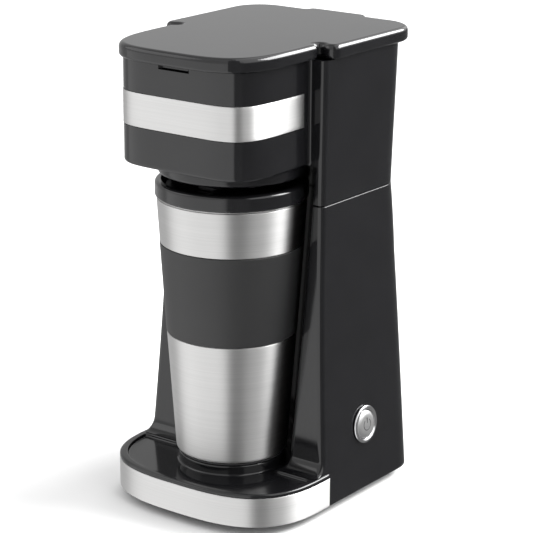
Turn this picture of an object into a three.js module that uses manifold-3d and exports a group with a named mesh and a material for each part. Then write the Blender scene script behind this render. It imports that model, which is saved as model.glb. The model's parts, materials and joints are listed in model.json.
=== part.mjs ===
// A single-serve drip coffee maker with its steel travel mug.
// Millimetres, +Z up, front towards -Y, origin on the table under the middle of the machine.
import * as THREE from "three";
import { mergeVertices } from "three/addons/utils/BufferGeometryUtils.js";
import Module from "manifold-3d";

const wasm = await Module();
wasm.setup();

// Driving dimensions
const gap = 0.3; // clearance between pieces that touch
const wall = 2.6; // moulded housing wall
const sheet = 0.8; // stainless sheet of the bands and the mug
const arcSteps = 4; // straight pieces in a rounded corner

const tower = {
  halfWidth: 60.7, // at the waist
  flareStart: 150, // below this height the sides spread
  flare: 8.3, // spread of each side at the bottom
  front: -16.6, // front edge of the cheeks
  frontSpread: 7, // how far the cheeks come forward at the bottom
  rear: 70.2, // rear face at the waist
  rearBelly: 11.5, // how far the rear face swells towards the bottom
  rearLean: 3.8, // how far the rear face leans back at the top
  frontRadius: 3.5,
  rearRadius: 20,
  bottom: 5.6,
  seam: 193.8, // parting line between the two housings
  top: 281,
};
const head = { halfWidth: 50.1, reach: 63.3, power: 5.5, centreY: -16.9, bottom: 217.5, spoutHole: 12 };
const headFront = head.centreY - head.reach;
const base = { halfWidth: 69, reach: 60.9, power: 2.92, centreY: -20.4, back: -17, top: 27 };
const headBand = { low: 241.4, high: 261.7, back: -22, proud: 0.2 };
const baseBand = { low: 5.9, high: 24.3 };
const bay = { radius: 41, slope: 12 / 167, low: 27 }; // conical mug bay about the mug's axis
const lid = {
  low: 281.3, high: 290, rear: 81, rearHalf: 64.5, rearRadius: 22, edge: 3, skirt: 3.6, plate: 2.7,
  lobe: { halfWidth: 55, reach: 69, power: 3.7, centreY: -17.5 },
  notch: [[55, -15.5, 3.3], [50.5, -12.5, 2], [51.5, -7.5, 2.5], [64.5, -14.5, 5.5]],
};
const spreader = {
  low: 283.2, disc: 24, thick: 2.4, cup: 7.5, channelHalf: 5, holes: 10, holeCircle: 17, hole: 1.4,
};
const hinge = {
  y: 81.5, z: 284, pin: 1.3, pinHalf: 21.2, knuckle: 3,
  armHalf: 17, armThick: 5, armFront: 73, postFront: 71.6, postRear: 73.8, postLow: 276,
  blockHalf: 22, blockFront: 40, blockRear: 86.5, blockRadius: 4,
};
const recess = { half: 10, low: 276.6, depth: 2.6, backing: 2 }; // finger notch under the lid's front edge
const mug = { y: -25.4, seat: 31.5, foot: 33.2, rim: 193.7, footRadius: 34.6, slope: 0.068 };
const sleeve = { low: 109.4, high: 165.6, depth: 1.2 };
const mugLid = { low: 195.1, high: 204.5, radius: 46.6, floor: 201.2, plugRadius: 38.8 };
const drink = { front: -35, back: -28, halfWidth: 6, inlet: 5 }; // openings in the mug lid, from its axis
const slider = { front: -25, back: -7, halfWidth: 7, low: 201.5, high: 203.7 };
const collar = { radius: 44.7, low: 209, wall: 2.5, outlet: 9 };
const deck = {
  low: 277, high: 279.4, mouthHalf: 38, mouthFront: 37, mouthRear: 62, mouthRadius: 8, nozzleHole: 5,
};
const chamber = { inner: 43.4, outer: 45.4, low: 221, ledge: 39 };
const basket = { top: 276, topRadius: 42.4, floor: 228, floorRadius: 37, wall: 1.8, spout: 212.5, bore: 2.5 };
const filter = { top: 272, topRadius: 38.8, floor: 236, floorRadius: 30, mesh: 0.5, ribs: 6 };
const tank = { halfWidth: 50, front: 33, rear: 66, radius: 12, low: 150, high: 276.4, wall: 2 };
const hose = { outer: 5.8, inner: 4.2, nipple: 3.6, bore: 2.2, feedX: -22, y: 49.5 };
const valve = { low: 108, high: 124, radius: 7, chamberLow: 111, chamberHigh: 121, chamber: 5, ball: 3.6 };
const heater = { radius: 6.5, bend: 22, bendZ: 40, top: 64, element: 3.2 };
const riser = { x: 44, y: 21, top: 270 };
const button = { y: 23.5, z: 47, face: 8.8, hole: 10.8, bezel: 12.2, boardX: 48 };
const foot = { radius: 9.5, height: 4.9, rear: [51, 50], front: [44, -48] };
const screw = { head: 3, shank: 1.4, rear: [34, 74.5], front: [26, -62] };
const plate = { low: 5.2, high: 7.2 };
const gland = { z: 18, flange: 8.5, barrel: 6, bore: 3.4 };

// A closed geometry as a solid for joins and cuts.
function solid(geometry) {
  const g = geometry.clone();
  g.deleteAttribute("normal");
  g.deleteAttribute("uv");
  const merged = mergeVertices(g, 1e-4);
  const ids = merged.index.array;
  const triVerts = [];
  for (let i = 0; i < ids.length; i += 3) {
    const [a, b, c] = [ids[i], ids[i + 1], ids[i + 2]];
    if (a !== b && b !== c && c !== a) triVerts.push(a, b, c);
  }
  return new wasm.Manifold(new wasm.Mesh({
    numProp: 3,
    vertProperties: new Float32Array(merged.attributes.position.array),
    triVerts: new Uint32Array(triVerts),
  }));
}

const join = (...solids) => solids.reduce((a, b) => a.add(b));
const cut = (body, ...tools) => tools.reduce((a, b) => a.subtract(b), body);

function geometryOf(body) {
  const mesh = body.getMesh();
  const g = new THREE.BufferGeometry();
  g.setAttribute("position", new THREE.BufferAttribute(new Float32Array(mesh.vertProperties), 3));
  g.setIndex([...mesh.triVerts]);
  g.computeVertexNormals();
  return g;
}

// An outline extruded from one height to another.
function prism(shape, low, high, options = {}) {
  const settings = { depth: high - low, bevelEnabled: false, curveSegments: arcSteps, ...options };
  return solid(new THREE.ExtrudeGeometry(shape, settings).translate(0, 0, low));
}

// A prism whose top and bottom edges are rounded by the given radius.
function roundedPrism(shape, low, high, radius) {
  const g = new THREE.ExtrudeGeometry(shape, {
    depth: high - low - 2 * radius, curveSegments: arcSteps, bevelEnabled: true, bevelSegments: 2,
    bevelThickness: radius, bevelSize: radius, bevelOffset: -radius,
  });
  return solid(g.translate(0, 0, low + radius));
}

// A profile of [radius, height] pairs turned about a vertical axis at (x, y); the profile closes on itself.
function turned(profile, x = 0, y = 0, segments = 28) {
  const points = profile.map(([r, z]) => new THREE.Vector2(r, z));
  if (THREE.ShapeUtils.area(points) < 0) points.reverse();
  points.push(points[0].clone());
  return solid(new THREE.LatheGeometry(points, segments).rotateX(Math.PI / 2).translate(x, y, 0));
}

const rod = (radius, low, high, x = 0, y = 0, segments = 12) =>
  turned([[0, low], [radius, low], [radius, high], [0, high]], x, y, segments);
const ring = (inner, outer, low, high, x = 0, y = 0, segments = 28) =>
  turned([[inner, low], [outer, low], [outer, high], [inner, high]], x, y, segments);

// A box between two corners.
function block([x0, y0, z0], [x1, y1, z1]) {
  const g = new THREE.BoxGeometry(x1 - x0, y1 - y0, z1 - z0);
  return solid(g.translate((x0 + x1) / 2, (y0 + y1) / 2, (z0 + z1) / 2));
}

// A round bar along X, centred on the machine's middle plane.
const crossBar = (radius, halfLength, y, z, segments = 16) =>
  solid(new THREE.CylinderGeometry(radius, radius, 2 * halfLength, segments)
    .rotateZ(Math.PI / 2).translate(0, y, z));

// A closed outline through corners [x, y, radius], each corner rounded by a tangent arc.
function outline(corners) {
  const shape = new THREE.Shape();
  const count = corners.length;
  corners.forEach(([x, y, radius = 0], i) => {
    const here = new THREE.Vector2(x, y);
    const before = new THREE.Vector2(...corners[(i + count - 1) % count]).sub(here).normalize();
    const after = new THREE.Vector2(...corners[(i + 1) % count]).sub(here).normalize();
    const half = Math.acos(THREE.MathUtils.clamp(before.dot(after), -1, 1)) / 2;
    const start = here.clone().addScaledVector(before, radius / Math.tan(half));
    if (i) shape.lineTo(start.x, start.y);
    else shape.moveTo(start.x, start.y);
    if (!radius) return;
    const middle = before.clone().add(after).normalize();
    const centre = here.clone().addScaledVector(middle, radius / Math.sin(half));
    const end = here.clone().addScaledVector(after, radius / Math.tan(half));
    const clockwise = before.cross(after) > 0;
    const from = start.clone().sub(centre).angle();
    shape.absarc(centre.x, centre.y, radius, from, end.clone().sub(centre).angle(), clockwise);
  });
  shape.closePath();
  return shape;
}

// The right-hand corners of a symmetric outline, bottom to top, completed by their mirror images.
const mirrored = (right) => outline([...right, ...right.map(([x, ...rest]) => [-x, ...rest]).reverse()]);

const rectangle = (half, front, rear, frontRadius = 0, rearRadius = frontRadius) =>
  mirrored([[half, front, frontRadius], [half, rear, rearRadius]]);

// Points of a bulged front, right to left: half a superellipse about (0, centreY).
function bowPoints({ halfWidth, reach, power, centreY }, inset, steps) {
  return Array.from({ length: steps + 1 }, (_, i) => {
    const angle = (Math.PI * i) / steps;
    const across = Math.sign(Math.cos(angle)) * Math.abs(Math.cos(angle)) ** (2 / power);
    const out = i % steps ? Math.sin(angle) ** (2 / power) : 0;
    return [(halfWidth - inset) * across, centreY - (reach - inset) * out];
  });
}

// A bulged front with straight sides back to a given line.
function bowFront(front, inset, back, steps = 28) {
  const half = front.halfWidth - inset;
  const points = [[half, back], ...bowPoints(front, inset, steps), [-half, back]];
  return new THREE.Shape(points.map(([x, y]) => new THREE.Vector2(x, y)));
}

// A band that follows a bulged front between two insets and ends at a given line.
function frontBand(front, outside, inside, back, low, high) {
  const behind = block([-100, back, low - 1], [100, 100, high + 1]);
  return cut(prism(bowFront(front, outside, 0), low, high),
    prism(bowFront(front, inside, 1), low - 1, high + 1), behind);
}

// Tower section at a height: half width, front edge and rear face.
const spread = (z) => Math.max(0, tower.flareStart - z) / (tower.flareStart - tower.bottom);
const halfWidthAt = (z) => tower.halfWidth + tower.flare * spread(z) ** 1.25
  + 0.6 * THREE.MathUtils.smoothstep(z, tower.seam, tower.top);
const frontAt = (z) => tower.front - tower.frontSpread * spread(z) ** 1.1;
const rearAt = (z) => z > tower.seam
  ? tower.rear + tower.rearLean * (z - tower.seam) / (tower.top - tower.seam)
  : tower.rear + tower.rearBelly * (1 - Math.exp((z - tower.seam) / 65));

// The tower between two heights, drawn in by an inset: a straight prism whose rings take each height's section.
function towerSolid(low, high, inset, steps) {
  const shape = rectangle(tower.halfWidth - inset, tower.front + inset, tower.rear - inset,
    tower.frontRadius, tower.rearRadius - inset);
  const settings = { depth: high - low, steps, bevelEnabled: false, curveSegments: arcSteps };
  const g = new THREE.ExtrudeGeometry(shape, settings);
  g.translate(0, 0, low);
  const p = g.attributes.position;
  for (let i = 0; i < p.count; i++) {
    const z = p.getZ(i);
    const across = p.getX(i) / (tower.halfWidth - inset);
    const along = (p.getY(i) - tower.front - inset) / (tower.rear - tower.front - 2 * inset);
    const [front, rear] = [frontAt(z) + inset, rearAt(z) - inset];
    p.setXY(i, across * (halfWidthAt(z) - inset), front + along * (rear - front));
  }
  return solid(g);
}

const bayRadiusAt = (z) => bay.radius + bay.slope * Math.max(0, z - bay.low);

// The mug bay as a solid about the mug's axis, grown by an offset.
function baySolid(low, high, grow) {
  const radii = [low, bay.low, high].filter((z, i, all) => z >= low && (i === 0 || z > all[0]));
  const side = radii.map((z) => [bayRadiusAt(z) + grow, z]);
  return turned([[0, low], ...side, [0, high]], 0, mug.y, 36);
}

// The power button's pieces are made along +Z and then laid on the slope of the right side wall.
const buttonTilt = Math.atan2(halfWidthAt(button.z - 10) - halfWidthAt(button.z + 10), 20);
function onButton(body) {
  return body.rotate([0, 90 - THREE.MathUtils.radToDeg(buttonTilt), 0])
    .translate([halfWidthAt(button.z), button.y, button.z]);
}

const part = new THREE.Group();

// Adds one named mesh; finish is [colour, roughness, metalness].
function add(name, body, [color, roughness, metalness]) {
  const material = new THREE.MeshStandardMaterial({ color, roughness, metalness });
  const mesh = new THREE.Mesh(geometryOf(body), material);
  mesh.name = name;
  part.add(mesh);
}

const glossBlack = [0x0b0b0c, 0.16, 0];
const mattBlack = [0x1c1c1d, 0.5, 0];
const steel = [0xc8c8c6, 0.3, 1];
const chrome = [0xd5d5d6, 0.12, 1];
const rubber = [0x2b2b2d, 0.85, 0];
const clearPlastic = [0xb9c2c6, 0.3, 0];
const silicone = [0xd8d6cf, 0.6, 0];
const aluminium = [0xb4b5b7, 0.45, 1];
const boardGreen = [0x2f6b3c, 0.5, 0];

// Casing

function lowerHousing() {
  const outer = towerSolid(tower.bottom, tower.seam - 0.2, 0, 7);
  const hollow = towerSolid(tower.bottom - 1, tower.seam + 1, wall, 7);
  const floorLine = plate.high + 0.4;
  const shell = cut(outer, cut(hollow, baySolid(floorLine, tower.seam + 2, wall)));
  const bosses = [-1, 1].map((side) => rod(4.5, floorLine, 22, side * screw.rear[0], screw.rear[1]));
  const bores = [-1, 1].map((side) => rod(screw.shank + 0.4, 4, 19, side * screw.rear[0], screw.rear[1]));
  return cut(join(shell, ...bosses), ...bores,
    baySolid(4, tower.seam + 2, 0),
    block([-80, -60, 0], [80, base.back + gap, base.top + gap]),
    onButton(rod(button.hole, -8, 4, 0, 0, 32)),
    rod(gland.barrel + 0.4, -10, 10, 0, 0, 24).rotate([90, 0, 0]).translate([0, rearAt(gland.z), gland.z]));
}

function upperHousing() {
  const low = tower.seam + 0.2;
  const ceiling = head.bottom + wall;
  const outer = join(towerSolid(low, tower.top, 0, 1), prism(bowFront(head, 0, 0), head.bottom, tower.top));
  const hollow = join(towerSolid(low - 2, tower.top + 2, wall, 1),
    prism(bowFront(head, wall, 0), ceiling, tower.top + 2));
  const shell = cut(outer, cut(hollow, baySolid(low - 2, ceiling, wall)), baySolid(low - 2, head.bottom, 0));
  const bandSeat = frontBand(head, -2, sheet + 0.2, headBand.back + gap,
    headBand.low - gap, headBand.high + gap);
  const { armHalf, armFront, postFront, postRear, postLow } = hinge;
  const armTop = hinge.z + hinge.armThick / 2;
  const arm = join(
    block([-armHalf, postFront, postLow], [armHalf, postRear, armTop]),
    block([-armHalf, armFront, armTop - hinge.armThick], [armHalf, hinge.y, armTop]),
    crossBar(hinge.knuckle, armHalf, hinge.y, hinge.z));
  const [notchHalf, backingHalf] = [recess.half, recess.half + recess.backing];
  const backing = block([-backingHalf, headFront + 1, recess.low - recess.backing],
    [backingHalf, headFront + recess.depth + recess.backing, tower.top]);
  return cut(join(shell, arm, backing), bandSeat,
    crossBar(hinge.pin + gap, armHalf + 10, hinge.y, hinge.z),
    rod(head.spoutHole, head.bottom - 5, ceiling + 5, 0, mug.y, 24),
    block([-notchHalf, headFront - 10, recess.low], [notchHalf, headFront + recess.depth, lid.high]));
}

add("upper_housing", upperHousing(), glossBlack);
add("lower_housing", lowerHousing(), glossBlack);
add("head_trim_band", frontBand(head, -headBand.proud, sheet - headBand.proud, headBand.back,
  headBand.low, headBand.high), steel);
add("base_trim_band", frontBand(base, 0, sheet, base.back, baseBand.low, baseBand.high), steel);

// Base: a dished tray over the trim band, with a raised round seat for the mug.
function baseDeck() {
  const under = plate.high + 0.4;
  const inside = sheet + gap;
  const round = bay.radius - 0.4;
  const body = join(
    prism(bowFront(base, inside, base.back), under, baseBand.high + 1),
    prism(bowFront(base, 0, base.back), baseBand.high + gap, base.top),
    rod(round, under, base.top, 0, mug.y, 36));
  const hollow = join(
    prism(bowFront(base, inside + wall, base.back - 1), under - 1, 21.5),
    rod(round - wall, under - 1, 21.5, 0, mug.y, 36));
  const dish = join(
    prism(bowFront(base, 5.5, base.back - 1), 25, base.top + 1),
    rod(round - 2, 25, base.top + 1, 0, mug.y, 36));
  const bosses = [-1, 1].map((side) => rod(4.5, under, 23, side * screw.front[0], screw.front[1]));
  const bores = [-1, 1].map((side) => rod(screw.shank + 0.4, 4, 19, side * screw.front[0], screw.front[1]));
  return cut(join(cut(body, hollow, dish), rod(33, 24, mug.seat, 0, mug.y, 28), ...bosses), ...bores);
}
add("base_deck", baseDeck(), glossBlack);

function basePlate() {
  const section = rectangle(halfWidthAt(6) - wall - 0.5, base.back - 2, rearAt(6) - wall - 0.5, 0,
    tower.rearRadius + 2);
  const sheetBody = join(prism(bowFront(base, 1.6, base.back), plate.low, plate.high),
    prism(section, plate.low, plate.high));
  const holes = cornerPlaces(screw).map(([x, y]) => rod(screw.shank + 0.4, 4, 9, x, y));
  return cut(sheetBody, ...holes);
}

// The four places of a foot or a screw: rear right, rear left, front right, front left.
function cornerPlaces({ rear, front }) {
  return [rear, front].flatMap(([x, y]) => [[x, y], [-x, y]]);
}
add("base_plate", basePlate(), mattBlack);
cornerPlaces(foot).forEach(([x, y], i) => {
  const profile = [
    [0, 0], [foot.radius - 1, 0], [foot.radius, 1], [foot.radius - 0.5, foot.height], [0, foot.height],
  ];
  add(`foot_${i + 1}`, turned(profile, x, y, 14), rubber);
});
cornerPlaces(screw).forEach(([x, y], i) => {
  const profile = [[0, 3.5], [screw.head - 0.6, 3.5], [screw.head, 4.1], [screw.head, 4.9],
    [screw.shank, 4.9], [screw.shank, 17], [0, 17]];
  add(`base_screw_${i + 1}`, turned(profile, x, y, 8), chrome);
});
const glandProfile = [[gland.bore, -7], [gland.barrel, -7], [gland.barrel, 0.5], [gland.flange, 0.5],
  [gland.flange - 0.8, 3], [gland.bore, 3]];
add("cord_gland", turned(glandProfile, 0, 0, 16).rotate([-90, 0, 0])
  .translate([0, rearAt(gland.z), gland.z]), rubber);

// Brew head

const collarProfile = [
  [collar.outlet, collar.low], [collar.radius - 1, collar.low], [collar.radius, collar.low + 1],
  [collar.radius, head.bottom - gap], [collar.radius - collar.wall, head.bottom - gap],
  [collar.radius - collar.wall, collar.low + collar.wall], [collar.outlet, collar.low + collar.wall]];
add("outlet_collar", turned(collarProfile, 0, mug.y, 36), glossBlack);

function innerDeck() {
  const inset = wall + 0.4;
  const notch = {
    half: recess.half + recess.backing + gap,
    rear: headFront + recess.depth + recess.backing + gap,
  };
  const top = join(
    prism(bowFront(head, inset, 0), deck.low, deck.high),
    prism(rectangle(halfWidthAt(deck.low) - inset, tower.front + inset, rearAt(deck.low) - inset,
      tower.frontRadius, tower.rearRadius - inset), deck.low, deck.high));
  const well = ring(chamber.inner, chamber.outer, chamber.low, deck.low + 1, 0, mug.y, 28);
  const ledge = ring(chamber.ledge, chamber.outer, chamber.low, chamber.low + 2, 0, mug.y, 28);
  return cut(join(top, well, ledge),
    rod(chamber.inner, deck.low - 1, deck.high + 1, 0, mug.y, 28),
    prism(rectangle(deck.mouthHalf, deck.mouthFront, deck.mouthRear, deck.mouthRadius),
      deck.low - 1, deck.high + 1),
    rod(deck.nozzleHole, deck.low - 1, deck.high + 1, riser.x, riser.y),
    block([-notch.half, headFront, deck.low - 1], [notch.half, notch.rear, deck.high + 1]));
}
add("inner_deck", innerDeck(), mattBlack);

function filterBasket() {
  const { bore, spout, floor, floorRadius, top, topRadius } = basket;
  const spoutRadius = bore + 2;
  return turned([
    [bore, spout], [spoutRadius, spout], [spoutRadius, floor - 3.5], [floorRadius, floor - 1],
    [topRadius, top], [topRadius - basket.wall, top], [floorRadius - basket.wall, floor + 1],
    [bore, floor - 1.5],
  ], 0, mug.y, 28);
}
add("filter_basket", filterBasket(), mattBlack);

// Permanent filter: a ribbed plastic frame around a conical mesh.
const filterSlope = (filter.topRadius - filter.floorRadius) / (filter.top - filter.floor);
const filterRadiusAt = (z) => filter.floorRadius + filterSlope * (z - filter.floor);
function filterFrame() {
  const f = filter;
  const rim = turned([[f.topRadius - 2.4, f.top], [f.topRadius + 0.6, f.top], [f.topRadius + 1, f.top + 2],
    [f.topRadius - 2.4, f.top + 2]], 0, 0, 36);
  const floor = ring(3, f.floorRadius + 1.2, f.floor - 1.6, f.floor, 0, 0, 36);
  const ribLow = filterRadiusAt(f.floor);
  const ribHigh = filterRadiusAt(f.top);
  const ribShape = new THREE.Shape([
    [ribLow, f.floor - 1], [ribLow + 1.1, f.floor - 1], [ribHigh + 0.5, f.top + 1],
    [ribHigh - 0.1, f.top + 1]].map(([x, y]) => new THREE.Vector2(x, y)));
  const rib = solid(new THREE.ExtrudeGeometry(ribShape, { depth: 3, bevelEnabled: false })
    .translate(0, 0, -1.5).rotateX(Math.PI / 2));
  const ribs = Array.from({ length: f.ribs }, (_, i) => rib.rotate([0, 0, (360 * (i + 0.5)) / f.ribs]));
  const grip = block([-8, f.topRadius - 4.2, f.top], [8, f.topRadius - 2, f.top + 5.5]);
  return join(rim, floor, ...ribs, grip).translate([0, mug.y, 0]);
}
add("filter_frame", filterFrame(), mattBlack);
const meshLow = filter.floor + gap;
const meshHigh = filter.top - gap;
const meshOuter = (z) => filterRadiusAt(z) - 0.6;
add("filter_mesh", turned([
  [meshOuter(meshLow) - filter.mesh, meshLow], [meshOuter(meshLow), meshLow],
  [meshOuter(meshHigh), meshHigh], [meshOuter(meshHigh) - filter.mesh, meshHigh],
], 0, mug.y, 36), steel);

// Water path

function waterTank() {
  const t = tank;
  const outer = prism(rectangle(t.halfWidth, t.front, t.rear, t.radius), t.low, t.high);
  const inner = prism(rectangle(t.halfWidth - t.wall, t.front + t.wall, t.rear - t.wall, t.radius - t.wall),
    t.low + t.wall, t.high + 1);
  const spigot = rod(hose.nipple, t.low - 12, t.low + 1, hose.feedX, hose.y);
  return cut(join(outer, spigot), inner, rod(hose.bore, t.low - 20, t.low + 4, hose.feedX, hose.y));
}
add("water_tank", waterTank(), clearPlastic);

const straightHose = (low, high) => ring(hose.inner, hose.outer, low, high, hose.feedX, hose.y, 12);
add("feed_hose_upper", straightHose(128, 147), silicone);
add("feed_hose_lower", straightHose(68, 106), silicone);
add("check_valve_body", turned([
  [hose.bore, valve.low - 10], [hose.nipple, valve.low - 10],
  [hose.nipple, valve.low], [valve.radius, valve.low],
  [valve.radius, valve.high], [hose.nipple, valve.high], [hose.nipple, valve.high + 10],
  [hose.bore, valve.high + 10], [hose.bore, valve.chamberHigh], [valve.chamber, valve.chamberHigh],
  [valve.chamber, valve.chamberLow], [hose.bore, valve.chamberLow],
], hose.feedX, hose.y, 14), clearPlastic);
add("check_valve_ball", solid(new THREE.SphereGeometry(valve.ball, 10, 7)
  .translate(hose.feedX, hose.y, valve.chamberLow + valve.ball + gap)), steel);

// A tube of given outer and inner radius along a curve.
function tube(curve, outer, inner, steps) {
  const circle = (radius) => new THREE.Shape().absarc(0, 0, radius, 0, 2 * Math.PI);
  const along = (shape, path) => solid(new THREE.ExtrudeGeometry(shape,
    { extrudePath: path, steps, curveSegments: arcSteps, bevelEnabled: false }));
  const skin = along(circle(outer), curve);
  return inner ? cut(skin, along(circle(inner), curve)) : skin;
}

const point = (x, y, z) => new THREE.Vector3(x, y, z);
const riserCurve = new THREE.CatmullRomCurve3([
  point(-hose.feedX, hose.y, 68), point(-hose.feedX, hose.y, 79), point(-hose.feedX, hose.y, 90),
  point(27, 43, 108), point(39, 26, 128), point(riser.x, riser.y, 148),
  point(riser.x, riser.y, 200), point(riser.x, riser.y, riser.top),
], false, "centripetal");
add("riser_hose", tube(riserCurve, hose.outer, hose.inner, 18), silicone);
add("riser_nozzle", turned([
  [hose.bore, riser.top - 8], [hose.nipple, riser.top - 8], [hose.nipple, deck.low - 2], [4.6, deck.low - 2],
  [4.6, deck.high + gap], [7, deck.high + gap], [6.4, deck.high + 2], [hose.bore, deck.high + 2],
], riser.x, riser.y, 12), silicone);

const clampPlaces = [[hose.feedX, hose.y, 141], [hose.feedX, hose.y, 71], [-hose.feedX, hose.y, 71],
  [riser.x, riser.y, 264]];
clampPlaces.forEach(([x, y, z], i) => {
  const band = ring(hose.outer + gap, hose.outer + 1.2, z, z + 4, 0, 0, 12);
  const ears = block([-1, hose.outer + 0.8, z + 0.6], [1, hose.outer + 4.4, z + 3.4]);
  add(`hose_clamp_${i + 1}`, join(band, ears).translate([x, y, 0]), steel);
});

// Heater: a U of aluminium water tube with a sheathed element behind it.
class UPath extends THREE.CurvePath {
  constructor(half, bendZ, top, y) {
    super();
    this.add(new THREE.LineCurve3(point(-half, y, top), point(-half, y, bendZ)));
    const bend = new THREE.CatmullRomCurve3(Array.from({ length: 9 }, (_, i) => {
      const angle = Math.PI + (Math.PI * i) / 8;
      return point(half * Math.cos(angle), y, bendZ + half * Math.sin(angle));
    }));
    this.add(bend);
    this.add(new THREE.LineCurve3(point(half, y, bendZ), point(half, y, top)));
  }
}
const heaterPath = new UPath(heater.bend, heater.bendZ, heater.top, hose.y);
const heaterNipples = [-1, 1].map((side) => rod(hose.nipple, heater.top - 1, heater.top + 14,
  side * heater.bend, hose.y));
const heaterBores = [-1, 1].map((side) => rod(hose.bore, heater.top - 6, heater.top + 20,
  side * heater.bend, hose.y));
add("heater_tube", cut(join(tube(heaterPath, heater.radius, 0, 16), ...heaterNipples), ...heaterBores),
  aluminium);
const elementY = hose.y + heater.radius + gap + heater.element;
const elementPath = new UPath(heater.bend, heater.bendZ, heater.top - 4, elementY);
add("heating_element", tube(elementPath, heater.element, 0, 16), steel);
const bracketY = elementY + heater.element + gap;
const standoff = (x, z) => solid(new THREE.CylinderGeometry(2.5, 2.5, rearAt(z) - wall - gap - bracketY, 12)
  .translate(x, (rearAt(z) - wall - gap + bracketY) / 2, z));
add("heater_bracket", join(block([-33, bracketY, 34], [33, bracketY + 1.6, 58]),
  standoff(-29, 38), standoff(29, 38), standoff(-29, 54), standoff(29, 54)), steel);
add("thermostat", turned([[0, 0], [9, 0], [9, 4], [7, 4.5], [7, 7.5], [0, 7.5]], 0, 0, 16)
  .rotate([90, 0, 0]).translate([0, bracketY - gap, 50]), mattBlack);
add("thermal_fuse", crossBar(2.2, 9, bracketY - gap - 2.3, 37, 12), silicone);

// Power button
add("button_bezel", onButton(turned([[9.2, -6], [10.4, -6], [10.4, 0.5], [button.bezel, 0.5], [11.6, 1.6],
  [10.2, 2.1], [9.2, 1.5]], 0, 0, 28)), chrome);
add("power_button", onButton(turned([
  [0, -5], [button.face, -5], [button.face, 1.2], [8, 1.9], [5, 2.4], [0, 2.6]],
  0, 0, 28)), chrome);
add("switch_body", onButton(join(block([-6, -6, -15], [6, 6, -8]), rod(2, -9, -6.9, 0, 0, 12))), mattBlack);
add("control_board", block([button.boardX, 6, 30], [button.boardX + 1.6, 41, 64]), boardGreen);

// Lid

function lidBody() {
  const side = [...lid.notch, [lid.rearHalf, lid.rear, lid.rearRadius]];
  const otherSide = side.map(([x, ...rest]) => [-x, ...rest]).reverse();
  const shape = outline([...bowPoints(lid.lobe, 0, 24).reverse(), ...side, ...otherSide]);
  const s = lid.skirt;
  const ceiling = lid.high - lid.plate;
  const hollow = join(
    prism(bowFront(lid.lobe, s, -17), lid.low - 1, ceiling),
    prism(rectangle(lid.rearHalf - s, 0, lid.rear - s, 3, lid.rearRadius - s), lid.low - 1, ceiling),
    block([-48, -20, lid.low - 1], [48, 10, ceiling]));
  const knuckleRoom = block([-hinge.armHalf - 0.4, 60, lid.low - 1],
    [hinge.armHalf + 0.4, hinge.y + hinge.knuckle + 0.4, ceiling + 0.1]);
  const hingeBlock = rectangle(hinge.blockHalf, hinge.blockFront, hinge.blockRear, hinge.blockRadius);
  const body = join(roundedPrism(shape, lid.low, lid.high, lid.edge),
    roundedPrism(hingeBlock, lid.low, lid.high, lid.edge));
  return cut(body, hollow, knuckleRoom,
    crossBar(hinge.pin + gap, hinge.blockHalf + 10, hinge.y, hinge.z));
}
add("lid", lidBody(), glossBlack);

// Shower plate under the lid: a channel from the riser nozzle to a perforated disc over the filter.
function lidSpreader() {
  const { low } = spreader;
  const high = lid.high - lid.plate - gap;
  const length = Math.hypot(riser.x, riser.y - mug.y);
  const turn = THREE.MathUtils.radToDeg(Math.atan2(riser.y - mug.y, riser.x));
  const half = spreader.channelHalf;
  const channel = block([0, -half, low], [length, half, high]).rotate([0, 0, turn]);
  const cup = rod(spreader.cup, low, high, riser.x, riser.y - mug.y, 20);
  const disc = rod(spreader.disc, low, low + spreader.thick, 0, 0, 32);
  const holes = Array.from({ length: spreader.holes }, (_, i) => {
    const angle = (2 * Math.PI * i) / spreader.holes;
    const [x, y] = [spreader.holeCircle * Math.cos(angle), spreader.holeCircle * Math.sin(angle)];
    return rod(spreader.hole, low - 1, high + 1, x, y, 6);
  });
  return cut(join(channel, cup, disc), ...holes).translate([0, mug.y, 0]);
}
add("lid_spreader", lidSpreader(), mattBlack);
add("hinge_pin", crossBar(hinge.pin, hinge.pinHalf, hinge.y, hinge.z), steel);

// Travel mug

const mugRadiusAt = (z) => mug.footRadius + mug.slope * (z - mug.foot);
function mugShell() {
  const [low, high] = [sleeve.low - gap, sleeve.high + gap];
  const r = mugRadiusAt;
  const outer = [[r(mug.foot) - 1.4, mug.foot], [r(mug.foot) - 0.4, mug.foot + 0.4], [r(35), 35], [r(low), low],
    [r(low) - sleeve.depth, low], [r(high) - sleeve.depth, high], [r(high), high], [r(mug.rim), mug.rim]];
  const deep = sleeve.depth + sheet;
  const inner = [[r(mug.rim) - sheet, mug.rim], [r(high) - sheet, high + sheet], [r(high) - deep, high + sheet],
    [r(low) - deep, low - sheet], [r(low) - sheet, low - sheet], [r(36) - sheet, 36], [31.5, 34.4]];
  return turned([[31.5, mug.foot], ...outer, ...inner], 0, mug.y, 30);
}
add("mug_shell", mugShell(), steel);
const linerAt = (z, inset) => [mugRadiusAt(z) - inset, z];
const linerOuter = 3.6;
const linerInner = linerOuter + sheet;
add("mug_liner", turned([
  [0, 39.2], [linerAt(40, linerOuter)[0] - 3, 39.2], linerAt(42.5, linerOuter), linerAt(189, linerOuter),
  [43.6, mug.rim + gap], [45.3, mug.rim + gap], [45.3, mug.rim + 1], [42.2, mug.rim + 1],
  linerAt(189, linerInner), linerAt(43, linerInner), [linerAt(40, linerInner)[0] - 2.6, 40], [0, 40],
], 0, mug.y, 28), steel);
const sleeveAt = (z, out) => [mugRadiusAt(z) + out, z];
add("mug_sleeve", turned([sleeveAt(sleeve.low, gap - sleeve.depth), sleeveAt(sleeve.low, 0.2),
  sleeveAt(sleeve.high, 0.2), sleeveAt(sleeve.high, gap - sleeve.depth)], 0, mug.y, 30), rubber);
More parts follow.
